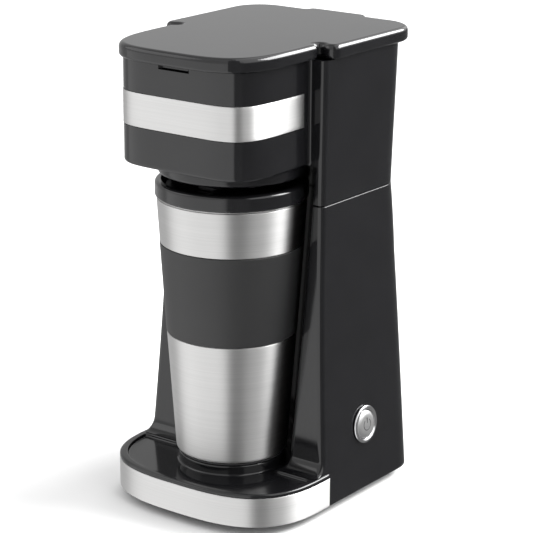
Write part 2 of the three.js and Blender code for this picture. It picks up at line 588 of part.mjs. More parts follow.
add("mug_base_cap", turned([[0, mug.seat + gap], [33, mug.seat + gap], [33, mug.foot - gap],
  [31.2, mug.foot - gap], [31.2, 36], [0, 36]], 0, mug.y, 36), mattBlack);

function mugLidBody() {
  const { low, high, radius, floor, plugRadius } = mugLid;
  const body = turned([
    [plugRadius - 2, 187], [plugRadius, 187], [plugRadius, low], [radius - 0.4, low], [radius, low + 0.8],
    [radius - 0.2, high - 1.6], [radius - 1.4, high], [radius - 4, high], [radius - 6, floor], [0, floor],
    [0, floor - 2.4], [plugRadius - 2, floor - 2.4],
  ], 0, 0, 30);
  const drinkHole = block([-drink.halfWidth, drink.front, floor - 5], [drink.halfWidth, drink.back, floor + 3]);
  const rail = (side) => block([side * 8.3 - 0.8, -36, floor - 1], [side * 8.3 + 0.8, -6, floor + 1.8]);
  return cut(join(body, rail(-1), rail(1)), drinkHole, rod(drink.inlet, floor - 5, floor + 3))
    .translate([0, mug.y, 0]);
}
add("mug_lid", mugLidBody(), glossBlack);
add("mug_lid_slider", join(
  block([-slider.halfWidth, slider.front, slider.low], [slider.halfWidth, slider.back, slider.high]),
  block([-5, -17.2, slider.high - 1], [5, -14.8, slider.high + 1.4])).translate([0, mug.y, 0]), mattBlack);
add("mug_lid_gasket", turned([[mugLid.plugRadius + gap, 189], [mugLid.plugRadius + 1.6, 189.6],
  [mugLid.plugRadius + 1.6, 191.4], [mugLid.plugRadius + gap, 192]], 0, mug.y, 28), silicone);

export default part;
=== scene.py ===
# Looks of a single-serve drip coffee maker and its travel mug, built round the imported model.
# Lengths in this script are millimetres in the model's own frame; meshes are stored in metres.
import json
import math
import bpy
import numpy as np
from mathutils import Matrix, Vector


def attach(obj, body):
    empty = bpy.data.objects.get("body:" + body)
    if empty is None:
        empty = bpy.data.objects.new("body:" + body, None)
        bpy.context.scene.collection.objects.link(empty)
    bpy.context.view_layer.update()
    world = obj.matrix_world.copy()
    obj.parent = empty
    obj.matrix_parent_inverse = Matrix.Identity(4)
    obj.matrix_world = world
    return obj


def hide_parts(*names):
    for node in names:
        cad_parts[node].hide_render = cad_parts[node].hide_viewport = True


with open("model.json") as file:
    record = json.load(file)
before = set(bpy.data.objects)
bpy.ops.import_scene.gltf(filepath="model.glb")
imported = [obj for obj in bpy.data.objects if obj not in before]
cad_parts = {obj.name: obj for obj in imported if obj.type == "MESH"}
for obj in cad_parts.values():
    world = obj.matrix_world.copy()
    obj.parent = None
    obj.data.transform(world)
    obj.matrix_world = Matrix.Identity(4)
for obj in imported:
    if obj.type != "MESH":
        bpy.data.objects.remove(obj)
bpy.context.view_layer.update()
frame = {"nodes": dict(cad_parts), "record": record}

mm = 0.001

clearance = 0.3   # gap between pieces that touch
wallThick = 2.6   # moulded housing wall
sheetThick = 0.8  # stainless sheet


def stage(text):
    print("scene:", text)


def smoothStep(value, low, high):
    # 3t^2 - 2t^3 with t the share of the way from low to high
    t = np.clip((value - low) / (high - low), 0, 1)
    return t * t * (3 - 2 * t)


def edgeInset(z, low, high, lowRadius, highRadius):
    # how far a rounded edge draws a wall in: r - sqrt(r^2 - (r - d)^2), d the distance from the edge
    below = np.clip(lowRadius - (z - low), 0, lowRadius)
    above = np.clip(highRadius - (high - z), 0, highRadius)
    return (lowRadius - np.sqrt(np.maximum(lowRadius ** 2 - below ** 2, 0))
            + highRadius - np.sqrt(np.maximum(highRadius ** 2 - above ** 2, 0)))


def edgeHeights(low, high, lowRadius, highRadius, between, steps=6):
    # heights for a wall with rounded edges: r(1 - cos a) steps at the edges, even steps between
    turn = 1 - np.cos(np.linspace(0, np.pi / 2, steps + 1))
    bottom = low + lowRadius * turn if lowRadius else np.array([low])
    top = high - highRadius * turn[::-1] if highRadius else np.array([high])
    s = (1 - np.cos(np.pi * np.arange(1, between + 1) / (between + 1))) / 2
    return np.concatenate([bottom, bottom[-1] + (top[0] - bottom[-1]) * s, top])


def runBetween(start, end, count):
    # points of a straight run without its ends, closer together near them: (1 - cos) / 2 of the way
    s = (1 - np.cos(np.pi * np.arange(1, count + 1) / (count + 1)))[:, None] / 2
    return start[..., None, :] * (1 - s) + end[..., None, :] * s


def roundedRows(corners, radii, inset=(0.0,), arcPoints=7, runPoints=4):
    # a closed outline with tangent arcs at its corners, one row for each inset; corners run anticlockwise
    corners = np.asarray(corners, float)
    inset = np.asarray(inset, float).reshape(-1, 1)
    before = corners - np.roll(corners, 1, axis=0)
    before /= np.linalg.norm(before, axis=1, keepdims=True)
    after = np.roll(before, -1, axis=0)
    turn = np.arctan2(before[:, 0] * after[:, 1] - before[:, 1] * after[:, 0], (before * after).sum(1))
    normal = np.stack([-before[:, 1], before[:, 0]], 1)
    nextNormal = np.roll(normal, -1, axis=0)
    slide = (normal + nextNormal) / (1 + (normal * nextNormal).sum(1, keepdims=True))
    side = np.sign(turn)
    starts, arcs = [], []
    for i, radius in enumerate(radii):
        place = corners[i] + inset * slide[i]
        if radius == 0:
            arcs.append(place[:, None, :])
            continue
        r = np.maximum(radius - inset * side[i], 0.25)
        centre = place - before[i] * r * math.tan(abs(turn[i]) / 2) + normal[i] * r * side[i]
        first = math.atan2(-normal[i, 1] * side[i], -normal[i, 0] * side[i])
        angle = first + turn[i] * np.linspace(0, 1, arcPoints)
        arcs.append(centre[:, None, :] + r[:, None, :] * np.stack([np.cos(angle), np.sin(angle)], -1))
    line = []
    for here, following in zip(arcs, arcs[1:] + arcs[:1]):
        line += [here, runBetween(here[:, -1], following[:, 0], runPoints)]
    return np.concatenate(line, axis=1)


def arcRun(x, y, radius, start, end, count):
    # centre + radius * (cos a, sin a), a going evenly from start to end; values may differ from row to row
    x, y, radius, start, end = (np.reshape(v, (-1, 1)) * 1.0 for v in (x, y, radius, start, end))
    angle = start + (end - start) * np.linspace(0, 1, count)
    return np.stack(np.broadcast_arrays(x + radius * np.cos(angle), y + radius * np.sin(angle)), -1)


def chained(pieces, runs):
    # stretches of outline [rows, points, 2] joined into closed rows by straight runs
    rows = max(len(p) for p in pieces)
    pieces = [np.broadcast_to(p, (rows,) + p.shape[1:]) for p in pieces]
    line = []
    for here, following, count in zip(pieces, pieces[1:] + pieces[:1], runs):
        line += [here, runBetween(here[:, -1], following[:, 0], count)]
    return np.concatenate(line, axis=1)


def raised(rows, heights):
    # outline rows [rows, points, 2] lifted to their heights
    heights = np.broadcast_to(np.reshape(heights, (-1, 1)), rows.shape[:2])
    return np.concatenate([rows, heights[..., None]], axis=-1)


def shell(grid, lowTip=None, highTip=None, closeRows=False):
    # faces join each grid point to its neighbours; columns close on themselves
    # a tip closes an end with a fan of triangles
    grid = np.asarray(grid, float)
    rows, columns = grid.shape[:2]
    index = np.arange(rows * columns).reshape(rows, columns)
    points = grid.reshape(-1, 3)
    if closeRows:
        index = np.vstack([index, index[:1]])
    across = np.roll(index, -1, axis=1)
    quads = np.stack([index[:-1], across[:-1], across[1:], index[1:]], -1).reshape(-1, 4)
    fans = np.zeros((0, 3), int)
    for tip, ring, order in ((lowTip, index[0], -1), (highTip, index[-1], 1)):
        if tip is not None:
            fan = np.stack([ring, np.roll(ring, -1), np.full(columns, len(points))], -1)[:, ::order]
            fans = np.vstack([fans, fan])
            points = np.vstack([points, np.reshape(tip, (1, 3))])
    triangles = np.vstack([quads[:, [0, 1, 2]], quads[:, [0, 2, 3]], fans])
    a, b, c = (points[triangles[:, i]] for i in range(3))
    if (a * np.cross(b, c)).sum() < 0:
        quads, fans = quads[:, ::-1], fans[:, ::-1]
    return points, quads, fans


def lathe(corners, radii, centre=(0.0, 0.0), columns=144, arcPoints=6, runPoints=4, closed=False):
    # a rounded profile [radius, height] turned about a vertical axis; ends at radius 0 become tips
    profile = roundedRows(corners, radii, arcPoints=arcPoints, runPoints=runPoints)[0]
    if not closed:
        last = len(profile) - runPoints
        profile = profile[:last]
    angle = np.linspace(0, 2 * np.pi, columns, endpoint=False)
    r, z = profile[:, :1], profile[:, 1:]
    x, y = centre[0] + r * np.cos(angle), centre[1] + r * np.sin(angle)
    grid = np.stack(np.broadcast_arrays(x, y, z), -1)
    if closed:
        return shell(grid, closeRows=True)
    return shell(grid[1:-1], (*centre, profile[0, 1]), (*centre, profile[-1, 1]))


def placed(part, turn=None, shift=(0, 0, 0)):
    # a shell turned by a 3 x 3 matrix and then moved
    points, quads, fans = part
    if turn is not None:
        points = points @ np.asarray(turn, float).T
    return points + np.asarray(shift, float), quads, fans


def blockShell(low, high, radius=0.0, points=3):
    # a box with its upright edges rounded
    (x0, y0, z0), (x1, y1, z1) = low, high
    rows = roundedRows([(x0, y0), (x1, y0), (x1, y1), (x0, y1)], [radius] * 4, (0, 0), points, 1)
    middle = ((x0 + x1) / 2, (y0 + y1) / 2)
    return shell(raised(rows, [z0, z1]), (*middle, z0), (*middle, z1))


def meshOf(name, parts):
    # several closed shells as one mesh, in metres; each shell is its points, its quads and its end faces
    points, faces, count = [], [], 0
    for vertices, quads, fans in parts:
        points.append(vertices)
        faces += (quads + count).tolist() + (fans + count).tolist()
        count += len(vertices)
    mesh = bpy.data.meshes.new(name)
    mesh.from_pydata((np.concatenate(points) * mm).tolist(), [], faces)
    mesh.update()
    return mesh


def cutWith(obj, parts, operation="DIFFERENCE"):
    # one boolean with a tool made of shells, applied at once
    tool = bpy.data.objects.new("tool", meshOf("tool", parts))
    bpy.context.scene.collection.objects.link(tool)
    step = obj.modifiers.new("cut", "BOOLEAN")
    step.operation, step.object, step.solver = operation, tool, "MANIFOLD"
    bpy.context.view_layer.update()
    shaped = bpy.data.meshes.new_from_object(obj.evaluated_get(bpy.context.evaluated_depsgraph_get()))
    obj.modifiers.clear()
    obj.data = shaped
    bpy.data.objects.remove(tool)


def finish(obj, material, body, nodes=(), sharp=32):
    # smooth faces with hard edges kept, one material, and its place in the frame
    obj.data.materials.clear()
    obj.data.materials.append(material)
    obj.data.shade_smooth()
    obj.data.set_sharp_from_angle(angle=math.radians(sharp))
    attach(obj, body)
    if nodes:
        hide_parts(*nodes)
    return obj


def newPiece(name, parts):
    # a new object at the origin, with its place in its mesh
    obj = bpy.data.objects.new(name, meshOf(name, parts))
    bpy.context.scene.collection.objects.link(obj)
    return obj


class Sock:
    # one socket of a node tree, with arithmetic that adds Math nodes
    def __init__(self, graph, socket):
        self.graph, self.socket = graph, socket

    def maths(self, operation, *others):
        inputs = dict(enumerate((self,) + others))
        return self.graph.node("ShaderNodeMath", {"operation": operation}, inputs)

    def __add__(self, other):
        return self.maths("ADD", other)

    def __radd__(self, other):
        return self.maths("ADD", other)

    def __mul__(self, other):
        return self.maths("MULTIPLY", other)

    def __rmul__(self, other):
        return self.maths("MULTIPLY", other)

    def __sub__(self, other):
        return self.maths("SUBTRACT", other)

    def __rsub__(self, other):
        return self.graph.value(other).maths("SUBTRACT", self)

    def __truediv__(self, other):
        return self.maths("DIVIDE", other)

    def __rtruediv__(self, other):
        return self.graph.value(other).maths("DIVIDE", self)

    def __pow__(self, other):
        return self.maths("POWER", other)

    def __gt__(self, other):
        return self.maths("GREATER_THAN", other)

    def __lt__(self, other):
        return self.maths("LESS_THAN", other)


class Graph:
    # nodes of one material or world
    def __init__(self, owner):
        owner.use_nodes = True
        self.tree = owner.node_tree
        self.tree.nodes.clear()

    def node(self, kind, settings=None, inputs=None, out=0):
        # one node: its settings first, then the value or the link of each input named
        made = self.tree.nodes.new(kind)
        for name, setting in (settings or {}).items():
            setattr(made, name, setting)
        for name, given in (inputs or {}).items():
            if isinstance(given, Sock):
                self.tree.links.new(given.socket, made.inputs[name])
            else:
                made.inputs[name].default_value = given
        return Sock(self, made.outputs[out]) if len(made.outputs) else None

    def value(self, number):
        # a plain number as a socket
        return self.node("ShaderNodeMath", {"operation": "ADD"}, {0: number, 1: 0.0})

    def place(self, scale=(1, 1, 1), shift=(0, 0, 0)):
        # the piece's own coordinates in metres, stretched
        own = self.node("ShaderNodeTexCoord", out="Object")
        return self.node("ShaderNodeMapping", inputs={"Vector": own, "Scale": scale, "Location": shift})

    def noise(self, vector, scale, detail=3.0, roughness=0.5):
        inputs = {"Vector": vector, "Scale": scale, "Detail": detail, "Roughness": roughness}
        return self.node("ShaderNodeTexNoise", inputs=inputs)

    def shade(self, amount, dark, light):
        # a colour between two, by an amount
        # a Mix node's colour sockets are its inputs 6 and 7 and its output 2
        inputs = {0: amount, 6: (*dark, 1), 7: (*light, 1)}
        return self.node("ShaderNodeMix", {"data_type": "RGBA"}, inputs, out=2)

    def axes(self, vector):
        # the three numbers of a vector
        made = self.node("ShaderNodeSeparateXYZ", inputs={"Vector": vector})
        return [Sock(self, output) for output in made.socket.node.outputs]

    def ramp(self, value, low, high):
        # 0 below low, 1 above high, with a smooth change between
        return self.node("ShaderNodeMapRange", {"interpolation_type": "SMOOTHSTEP"},
                         {"Value": value, "From Min": low, "From Max": high})

    def bump(self, height, strength, distance, under=None):
        inputs = {"Height": height, "Strength": strength, "Distance": distance}
        if under is not None:
            inputs["Normal"] = under
        return self.node("ShaderNodeBump", inputs=inputs)

    def surface(self, inputs):
        made = self.node("ShaderNodeBsdfPrincipled", inputs=inputs)
        self.node("ShaderNodeOutputMaterial", inputs={"Surface": made})


def newMaterial(name):
    made = bpy.data.materials.new(name)
    return made, Graph(made)


glossLook = {"dark": (0.0045, 0.0045, 0.005), "light": (0.008, 0.008, 0.009),
             "roughness": 0.09, "wave": 0.00002}


def glossPlastic(name="gloss black", look=glossLook):
    # polished ABS: faint mottling, slow mould waviness and a few soft scuffs in the gloss
    made, g = newMaterial(name)
    cloud = g.noise(g.place(), 45.0, 4.0)
    scuff = g.noise(g.place((1, 1, 0.25)), 320.0, 5.0, 0.6)
    waves = g.noise(g.place(), 28.0, 1.0)
    peel = g.noise(g.place(), 900.0, 2.0)
    rough = look["roughness"] + cloud * 0.03 + (scuff > 0.66) * 0.05
    low = g.bump(waves, 0.35, look["wave"] * 6)
    g.surface({"Base Color": g.shade(cloud, look["dark"], look["light"]), "Roughness": rough,
               "IOR": 1.5, "Normal": g.bump(peel, 0.12, look["wave"], low)})
    return made


mattLook = {"dark": (0.016, 0.016, 0.017), "light": (0.034, 0.034, 0.036), "roughness": 0.42}


def mattPlastic(name="matt black", look=mattLook):
    # spark-eroded moulding: fine grain in height, with roughness following it
    made, g = newMaterial(name)
    grain = g.noise(g.place(), 2200.0, 3.0, 0.6)
    cloud = g.noise(g.place(), 60.0, 3.0)
    g.surface({"Base Color": g.shade(cloud, look["dark"], look["light"]),
               "Roughness": look["roughness"] + grain * 0.16, "Normal": g.bump(grain, 0.35, 0.00006)})
    return made


steelLook = {"dark": (0.52, 0.52, 0.515), "light": (0.74, 0.735, 0.73), "roughness": 0.4, "anisotropy": 0.9}


def brushedSteel(name="brushed steel", look=steelLook, turn=0.25):
    # lines run level: noise stretched far along X and Y and squeezed in Z, in two widths
    # a few deeper lines stand where the fine noise is highest
    made, g = newMaterial(name)
    fine = g.noise(g.place((5, 5, 1600)), 1.0, 4.0, 0.65)
    wide = g.noise(g.place((2.5, 2.5, 420), (0.3, 0, 0)), 1.0, 3.0, 0.5)
    lines = fine * 0.65 + wide * 0.35
    deep = g.ramp(fine, 0.62, 0.74)
    smear = g.noise(g.place(), 26.0, 3.0)
    g.surface({"Base Color": g.shade(lines - deep * 0.18, look["dark"], look["light"]), "Metallic": 1.0,
               "Roughness": look["roughness"] + lines * 0.14 + smear * 0.05,
               "Anisotropic": look["anisotropy"], "Anisotropic Rotation": turn,
               "Normal": g.bump(lines - deep * 0.3, 0.22, 0.00003)})
    return made


def brightMetal(name, dark, light, roughness, grain=700.0, bump=0.00001):
    # plated or drawn metal: slight tarnish in colour and gloss, very fine grain
    made, g = newMaterial(name)
    tarnish = g.noise(g.place(), 110.0, 4.0)
    fine = g.noise(g.place(), grain, 3.0)
    g.surface({"Base Color": g.shade(tarnish, dark, light), "Metallic": 1.0,
               "Roughness": roughness + tarnish * 0.07, "Normal": g.bump(fine, 0.15, bump)})
    return made


def softRubber(name, dark, light, roughness, grain=1500.0):
    # dull rubber: fine pimpled grain with a dusty bloom
    made, g = newMaterial(name)
    bloom = g.noise(g.place(), 35.0, 4.0)
    pimples = g.noise(g.place(), grain, 2.0)
    g.surface({"Base Color": g.shade(bloom * 0.6 + pimples * 0.4, dark, light),
               "Roughness": roughness + pimples * 0.12, "Normal": g.bump(pimples, 0.4, 0.00008)})
    return made


def clearPlastic():
    # smoky tank moulding seen as a milky skin: flow marks in colour and gloss
    made, g = newMaterial("clear plastic")
    flow = g.noise(g.place((1, 1, 0.2)), 90.0, 4.0)
    g.surface({"Base Color": g.shade(flow, (0.30, 0.34, 0.37), (0.46, 0.50, 0.53)),
               "Roughness": 0.16 + flow * 0.12, "Alpha": 0.55 + flow * 0.1, "IOR": 1.49,
               "Normal": g.bump(flow, 0.2, 0.0001)})
    return made


def circuitBoard():
    # green mask over copper runs: a blocky cell pattern lifts some areas
    made, g = newMaterial("circuit board")
    cells = g.node("ShaderNodeTexVoronoi", {"distance": "MANHATTAN"}, {"Vector": g.place(), "Scale": 260.0})
    tracks = g.node("ShaderNodeMapRange", inputs={"Value": cells, "From Min": 0.32, "From Max": 0.4})
    g.surface({"Base Color": g.shade(tracks, (0.02, 0.12, 0.05), (0.07, 0.26, 0.11)),
               "Roughness": 0.35 + tracks * 0.15, "Normal": g.bump(tracks, 0.4, 0.00005)})
    return made


meshLook = {"pitch": 0.7, "wire": 0.34}


def wovenSteel():
    # square weave from the piece's own map in millimetres: |sin| waves stand up, and holes are open between
    made, g = newMaterial("filter weave")
    uv = g.node("ShaderNodeTexCoord", out="UV")
    across, along, _ = g.axes(uv)
    wave = math.pi / meshLook["pitch"]
    warp = (across * wave).maths("SINE").maths("ABSOLUTE")
    weft = (along * wave).maths("SINE").maths("ABSOLUTE")
    hole = (warp > meshLook["wire"] * 2) * (weft > meshLook["wire"] * 2)
    # the colour follows the weave's shape: lighter on the wires' crowns is painted highlight, darker where
    # they dip towards the holes is painted shade
    g.surface({"Base Color": g.shade(warp * weft, (0.5, 0.5, 0.49), (0.75, 0.75, 0.73)), "Metallic": 1.0,
               "Roughness": 0.3 + warp * 0.1, "Alpha": 1 - hole,
               "Normal": g.bump(1 - warp * weft, 0.5, 0.0001)})
    return made


stage("finishes")
glossBlack = glossPlastic()
mattBlack = mattPlastic()
steel = brushedSteel()
chrome = brightMetal("bright chrome", (0.70, 0.70, 0.71), (0.86, 0.86, 0.87), 0.07)
buttonSilver = brightMetal("satin silver", (0.62, 0.62, 0.62), (0.78, 0.78, 0.78), 0.42)
aluminium = brightMetal("drawn aluminium", (0.48, 0.48, 0.49), (0.66, 0.66, 0.67), 0.38, 400.0, 0.00004)
rubber = softRubber("charcoal rubber", (0.022, 0.022, 0.023), (0.036, 0.036, 0.037), 0.55)
gripRubber = softRubber("sleeve rubber", (0.0132, 0.0132, 0.0135), (0.0182, 0.0182, 0.0187), 0.46, 1900.0)
silicone = softRubber("milky silicone", (0.58, 0.57, 0.54), (0.74, 0.73, 0.70), 0.5)
tankPlastic = clearPlastic()
boardGreen = circuitBoard()
filterWeave = wovenSteel()
slotFinish = {"gloss_black": glossBlack, "matt_black": mattBlack, "brushed_steel": steel, "chrome": chrome,
              "rubber": rubber, "silicone": silicone, "clear_plastic": tankPlastic, "aluminium": aluminium,
              "circuit_board": boardGreen}


# case outline; radii and heights in millimetres
tower = {
    "halfWidth": 60.7, "flareStart": 150.0, "flare": 8.3, "front": -16.6, "frontSpread": 7.0,
    "rear": 70.2, "rearBelly": 11.5, "rearLean": 3.8, "frontRadius": 3.5, "rearRadius": 20.0,
    "bottom": 5.6, "seam": 193.8, "top": 281.0, "cheekRadius": 3.2, "seamEdge": 0.55, "footEdge": 1.2,
}
bay = {"radius": 41.0, "slope": 12 / 167, "low": 27.0, "y": -25.4, "toe": 8.0, "bayToe": 3.0}
head = {"half": 50.1, "reach": 63.3, "power": 5.5, "centreY": -16.9, "bottom": 217.5,
        "edge": 2.2, "corner": 2.0}
base = {"half": 69.0, "reach": 60.9, "power": 2.92, "centreY": -20.4, "back": -17.0, "top": 27.0}
# how many points each stretch of the outline gets
columns = {"corner": 9, "rear": 17, "cheek": 9, "side": 26, "back": 30, "step": 8, "bow": 190}


def towerSection(z):
    # half width, front edge and rear face of the tower at a height
    spread = np.maximum(0, tower["flareStart"] - z) / (tower["flareStart"] - tower["bottom"])
    upper = 0.6 * smoothStep(z, tower["seam"], tower["top"])
    half = tower["halfWidth"] + tower["flare"] * spread ** 1.25 + upper
    front = tower["front"] - tower["frontSpread"] * spread ** 1.1
    lean = tower["rearLean"] * (z - tower["seam"]) / (tower["top"] - tower["seam"])
    belly = tower["rearBelly"] * (1 - np.exp(np.minimum(z - tower["seam"], 0) / 65))
    return half, front, tower["rear"] + np.where(z > tower["seam"], lean, belly)


def toe(z, radius):
    # concave foot of a wall on the deck: r - sqrt(r^2 - (r - z)^2), z from the deck up
    rise = np.clip(radius - (z - base["top"] - clearance), 0, radius)
    return radius - np.sqrt(radius ** 2 - rise ** 2)


def aroundTower(half, front, rear, inset, frontRadius):
    # the four outer corners as arcs, from the right front corner anticlockwise
    reach, quarter = tower["rearRadius"], np.pi / 2
    rounds = []
    for turn, (side, y, radius) in enumerate([(1, front, frontRadius), (1, rear, reach),
                                              (-1, rear, reach), (-1, front, frontRadius)]):
        toward = 1 if turn in (0, 3) else -1
        count = columns["corner"] if toward > 0 else columns["rear"]
        rounds.append(arcRun(side * (half - radius), y + toward * radius, radius - inset,
                             (turn - 1) * quarter, turn * quarter, count))
    return rounds


def cheekSection(z, inset, lowerFront=None):
    # tower outline below the head: outer corners, then the concave mug bay between the two cheeks
    half, front, rear = towerSection(z)
    front = front - toe(z, bay["toe"])
    open_ = bay["radius"] + bay["slope"] * np.maximum(0, z - bay["low"]) - toe(z, bay["bayToe"])
    radius = np.full_like(z, tower["cheekRadius"])
    frontRadius = np.full_like(z, tower["frontRadius"])
    if lowerFront is not None:
        low, y = lowerFront
        front, open_ = np.where(low, y, front), np.where(low, bay["radius"], open_)
        frontRadius, radius = np.where(low, 0.5, frontRadius), np.where(low, 0.5, radius)
    fit = np.where(radius > inset, radius, inset + 0.4)
    y = front + fit
    x = np.sqrt((open_ + fit) ** 2 - (y - bay["y"]) ** 2)
    lean = np.arctan2(y - bay["y"], x)
    outer = aroundTower(half, front, rear, inset, np.maximum(frontRadius, inset + 0.3))
    left = arcRun(-x, y, fit - inset, -np.pi / 2, -lean, columns["cheek"])
    arch = arcRun(0, bay["y"], open_ + inset, np.pi - lean, lean, columns["bow"])
    right = arcRun(x, y, fit - inset, np.pi + lean, 1.5 * np.pi, columns["cheek"])
    runs = [columns["side"], columns["back"], columns["side"], columns["step"], 0, 0, columns["step"]]
    return chained(outer + [left, arch[:, 1:-1], right], runs)


def bowPath(shape, back, count):
    # superellipse |x|^p + |y|^p = 1 from right to left, evenly spaced
    # its ends are drawn straight back to y = back
    direction = np.linspace(0, np.pi, 8001)
    c, s = np.cos(direction), np.sin(direction)
    size = (np.abs(c) ** shape["power"] + np.abs(s) ** shape["power"]) ** (-1 / shape["power"])
    across, out = c * size, s * size
    behind = (shape["centreY"] - back) / shape["reach"]
    if behind < 0:
        across, out = np.r_[1, across, -1], np.r_[behind, out, behind]
    else:
        keep = out >= behind
        across, out = across[keep], out[keep]
    length = np.r_[0, np.cumsum(np.hypot(np.diff(across) * shape["half"], np.diff(out) * shape["reach"]))]
    even = np.linspace(0, length[-1], count)
    return np.interp(even, length, across), np.interp(even, length, out)


def bowRows(shape, path, inset):
    # the bulged front drawn in by an inset: x = (half - i) across, y = centre - (reach - i) out
    across, out = path
    x, y = (shape["half"] - inset) * across, shape["centreY"] - (shape["reach"] - inset) * out
    return np.stack([x, y], -1)


def headSection(z, inset, headInset):
    # tower outline with the head in front of it, an inside corner joining the two
    # the head has its own inset for each row and point
    half, front, rear = towerSection(z)
    y = front + inset - head["corner"]
    x = head["half"] - headInset[:, 0] + head["corner"]
    path = bowPath(head, tower["front"] - head["corner"], columns["bow"])
    bow = bowRows(head, path, headInset)[:, ::-1]
    outer = aroundTower(half, front, rear, inset, np.maximum(tower["frontRadius"], inset + 0.3))
    left = arcRun(-x, y, head["corner"], np.pi / 2, 0, columns["cheek"])
    right = arcRun(x, y, head["corner"], np.pi, np.pi / 2, columns["cheek"])
    runs = [columns["side"], columns["back"], columns["side"], columns["step"], 0, 0, columns["step"]]
    return chained(outer + [left, bow[:, 1:-1], right], runs)


buttonPlace = {"y": 23.5, "z": 47.0, "hole": 10.8}
buttonHalf = [float(towerSection(np.array([buttonPlace["z"] + d]))[0][0]) for d in (-10, 0, 10)]
buttonTilt = math.atan2(buttonHalf[0] - buttonHalf[2], 20)
buttonTurn = np.array(Matrix.Rotation(math.pi / 2 - buttonTilt, 3, "Y"))
buttonShift = (buttonHalf[1], buttonPlace["y"], buttonPlace["z"])
gland = {"z": 18.0, "flange": 8.5, "barrel": 6.0, "bore": 3.4}
glandTurn = np.array(Matrix.Rotation(-math.pi / 2, 3, "X"))
glandRear = float(towerSection(np.array([gland["z"]]))[2][0])
glandShift = (0, glandRear, gland["z"])


def lowerHousing():
    # outline rows from the bottom up outside, then down inside, joined at both ends
    ledge, top = base["top"] + clearance, tower["seam"] - 0.2
    under = edgeHeights(tower["bottom"], ledge, tower["footEdge"], 0, 5)
    over = np.concatenate([ledge + bay["toe"] * (1 - np.cos(np.linspace(0, np.pi / 2, 12))),
                           edgeHeights(ledge + bay["toe"], top, 0, tower["seamEdge"], 36)[1:]])
    z = np.concatenate([under, over])
    low = np.arange(len(z)) < len(under)
    inset = edgeInset(z, tower["bottom"], top, tower["footEdge"], tower["seamEdge"])
    outside = raised(cheekSection(z, inset, (low, base["back"] + clearance)), z)
    inner = np.linspace(top, tower["bottom"], 16)
    thick = np.full_like(inner, wallThick)
    inside = raised(cheekSection(inner, thick, (inner < ledge, base["back"] + clearance)), inner)
    obj = newPiece("lower_housing_moulding", [shell(np.concatenate([outside, inside]), closeRows=True)])
    wide, bore = buttonPlace["hole"], gland["barrel"] + 0.4
    hole = lathe([(0, -8), (wide, -8), (wide, 4), (0, 4)], [0] * 4, columns=96)
    inlet = lathe([(0, -12), (bore, -12), (bore, 10), (0, 10)], [0] * 4, columns=48)
    cutWith(obj, [placed(hole, buttonTurn, buttonShift), placed(inlet, glandTurn, glandShift)])
    return finish(obj, glossBlack, "machine", ["lower_housing"])


stage("lower housing")
lowerHousing()


headBand = {"low": 241.4, "high": 261.7, "back": -22.0, "proud": 0.2}
recess = {"half": 10.0, "low": 278.6, "depth": 2.6, "edge": 0.7, "wall": 2.0}
hinge = {"y": 81.5, "z": 284.0, "knuckle": 3.0, "armHalf": 17.0, "postFront": 71.6, "postThick": 2.2,
         "postLow": 276.0}
spoutHole = 12.0


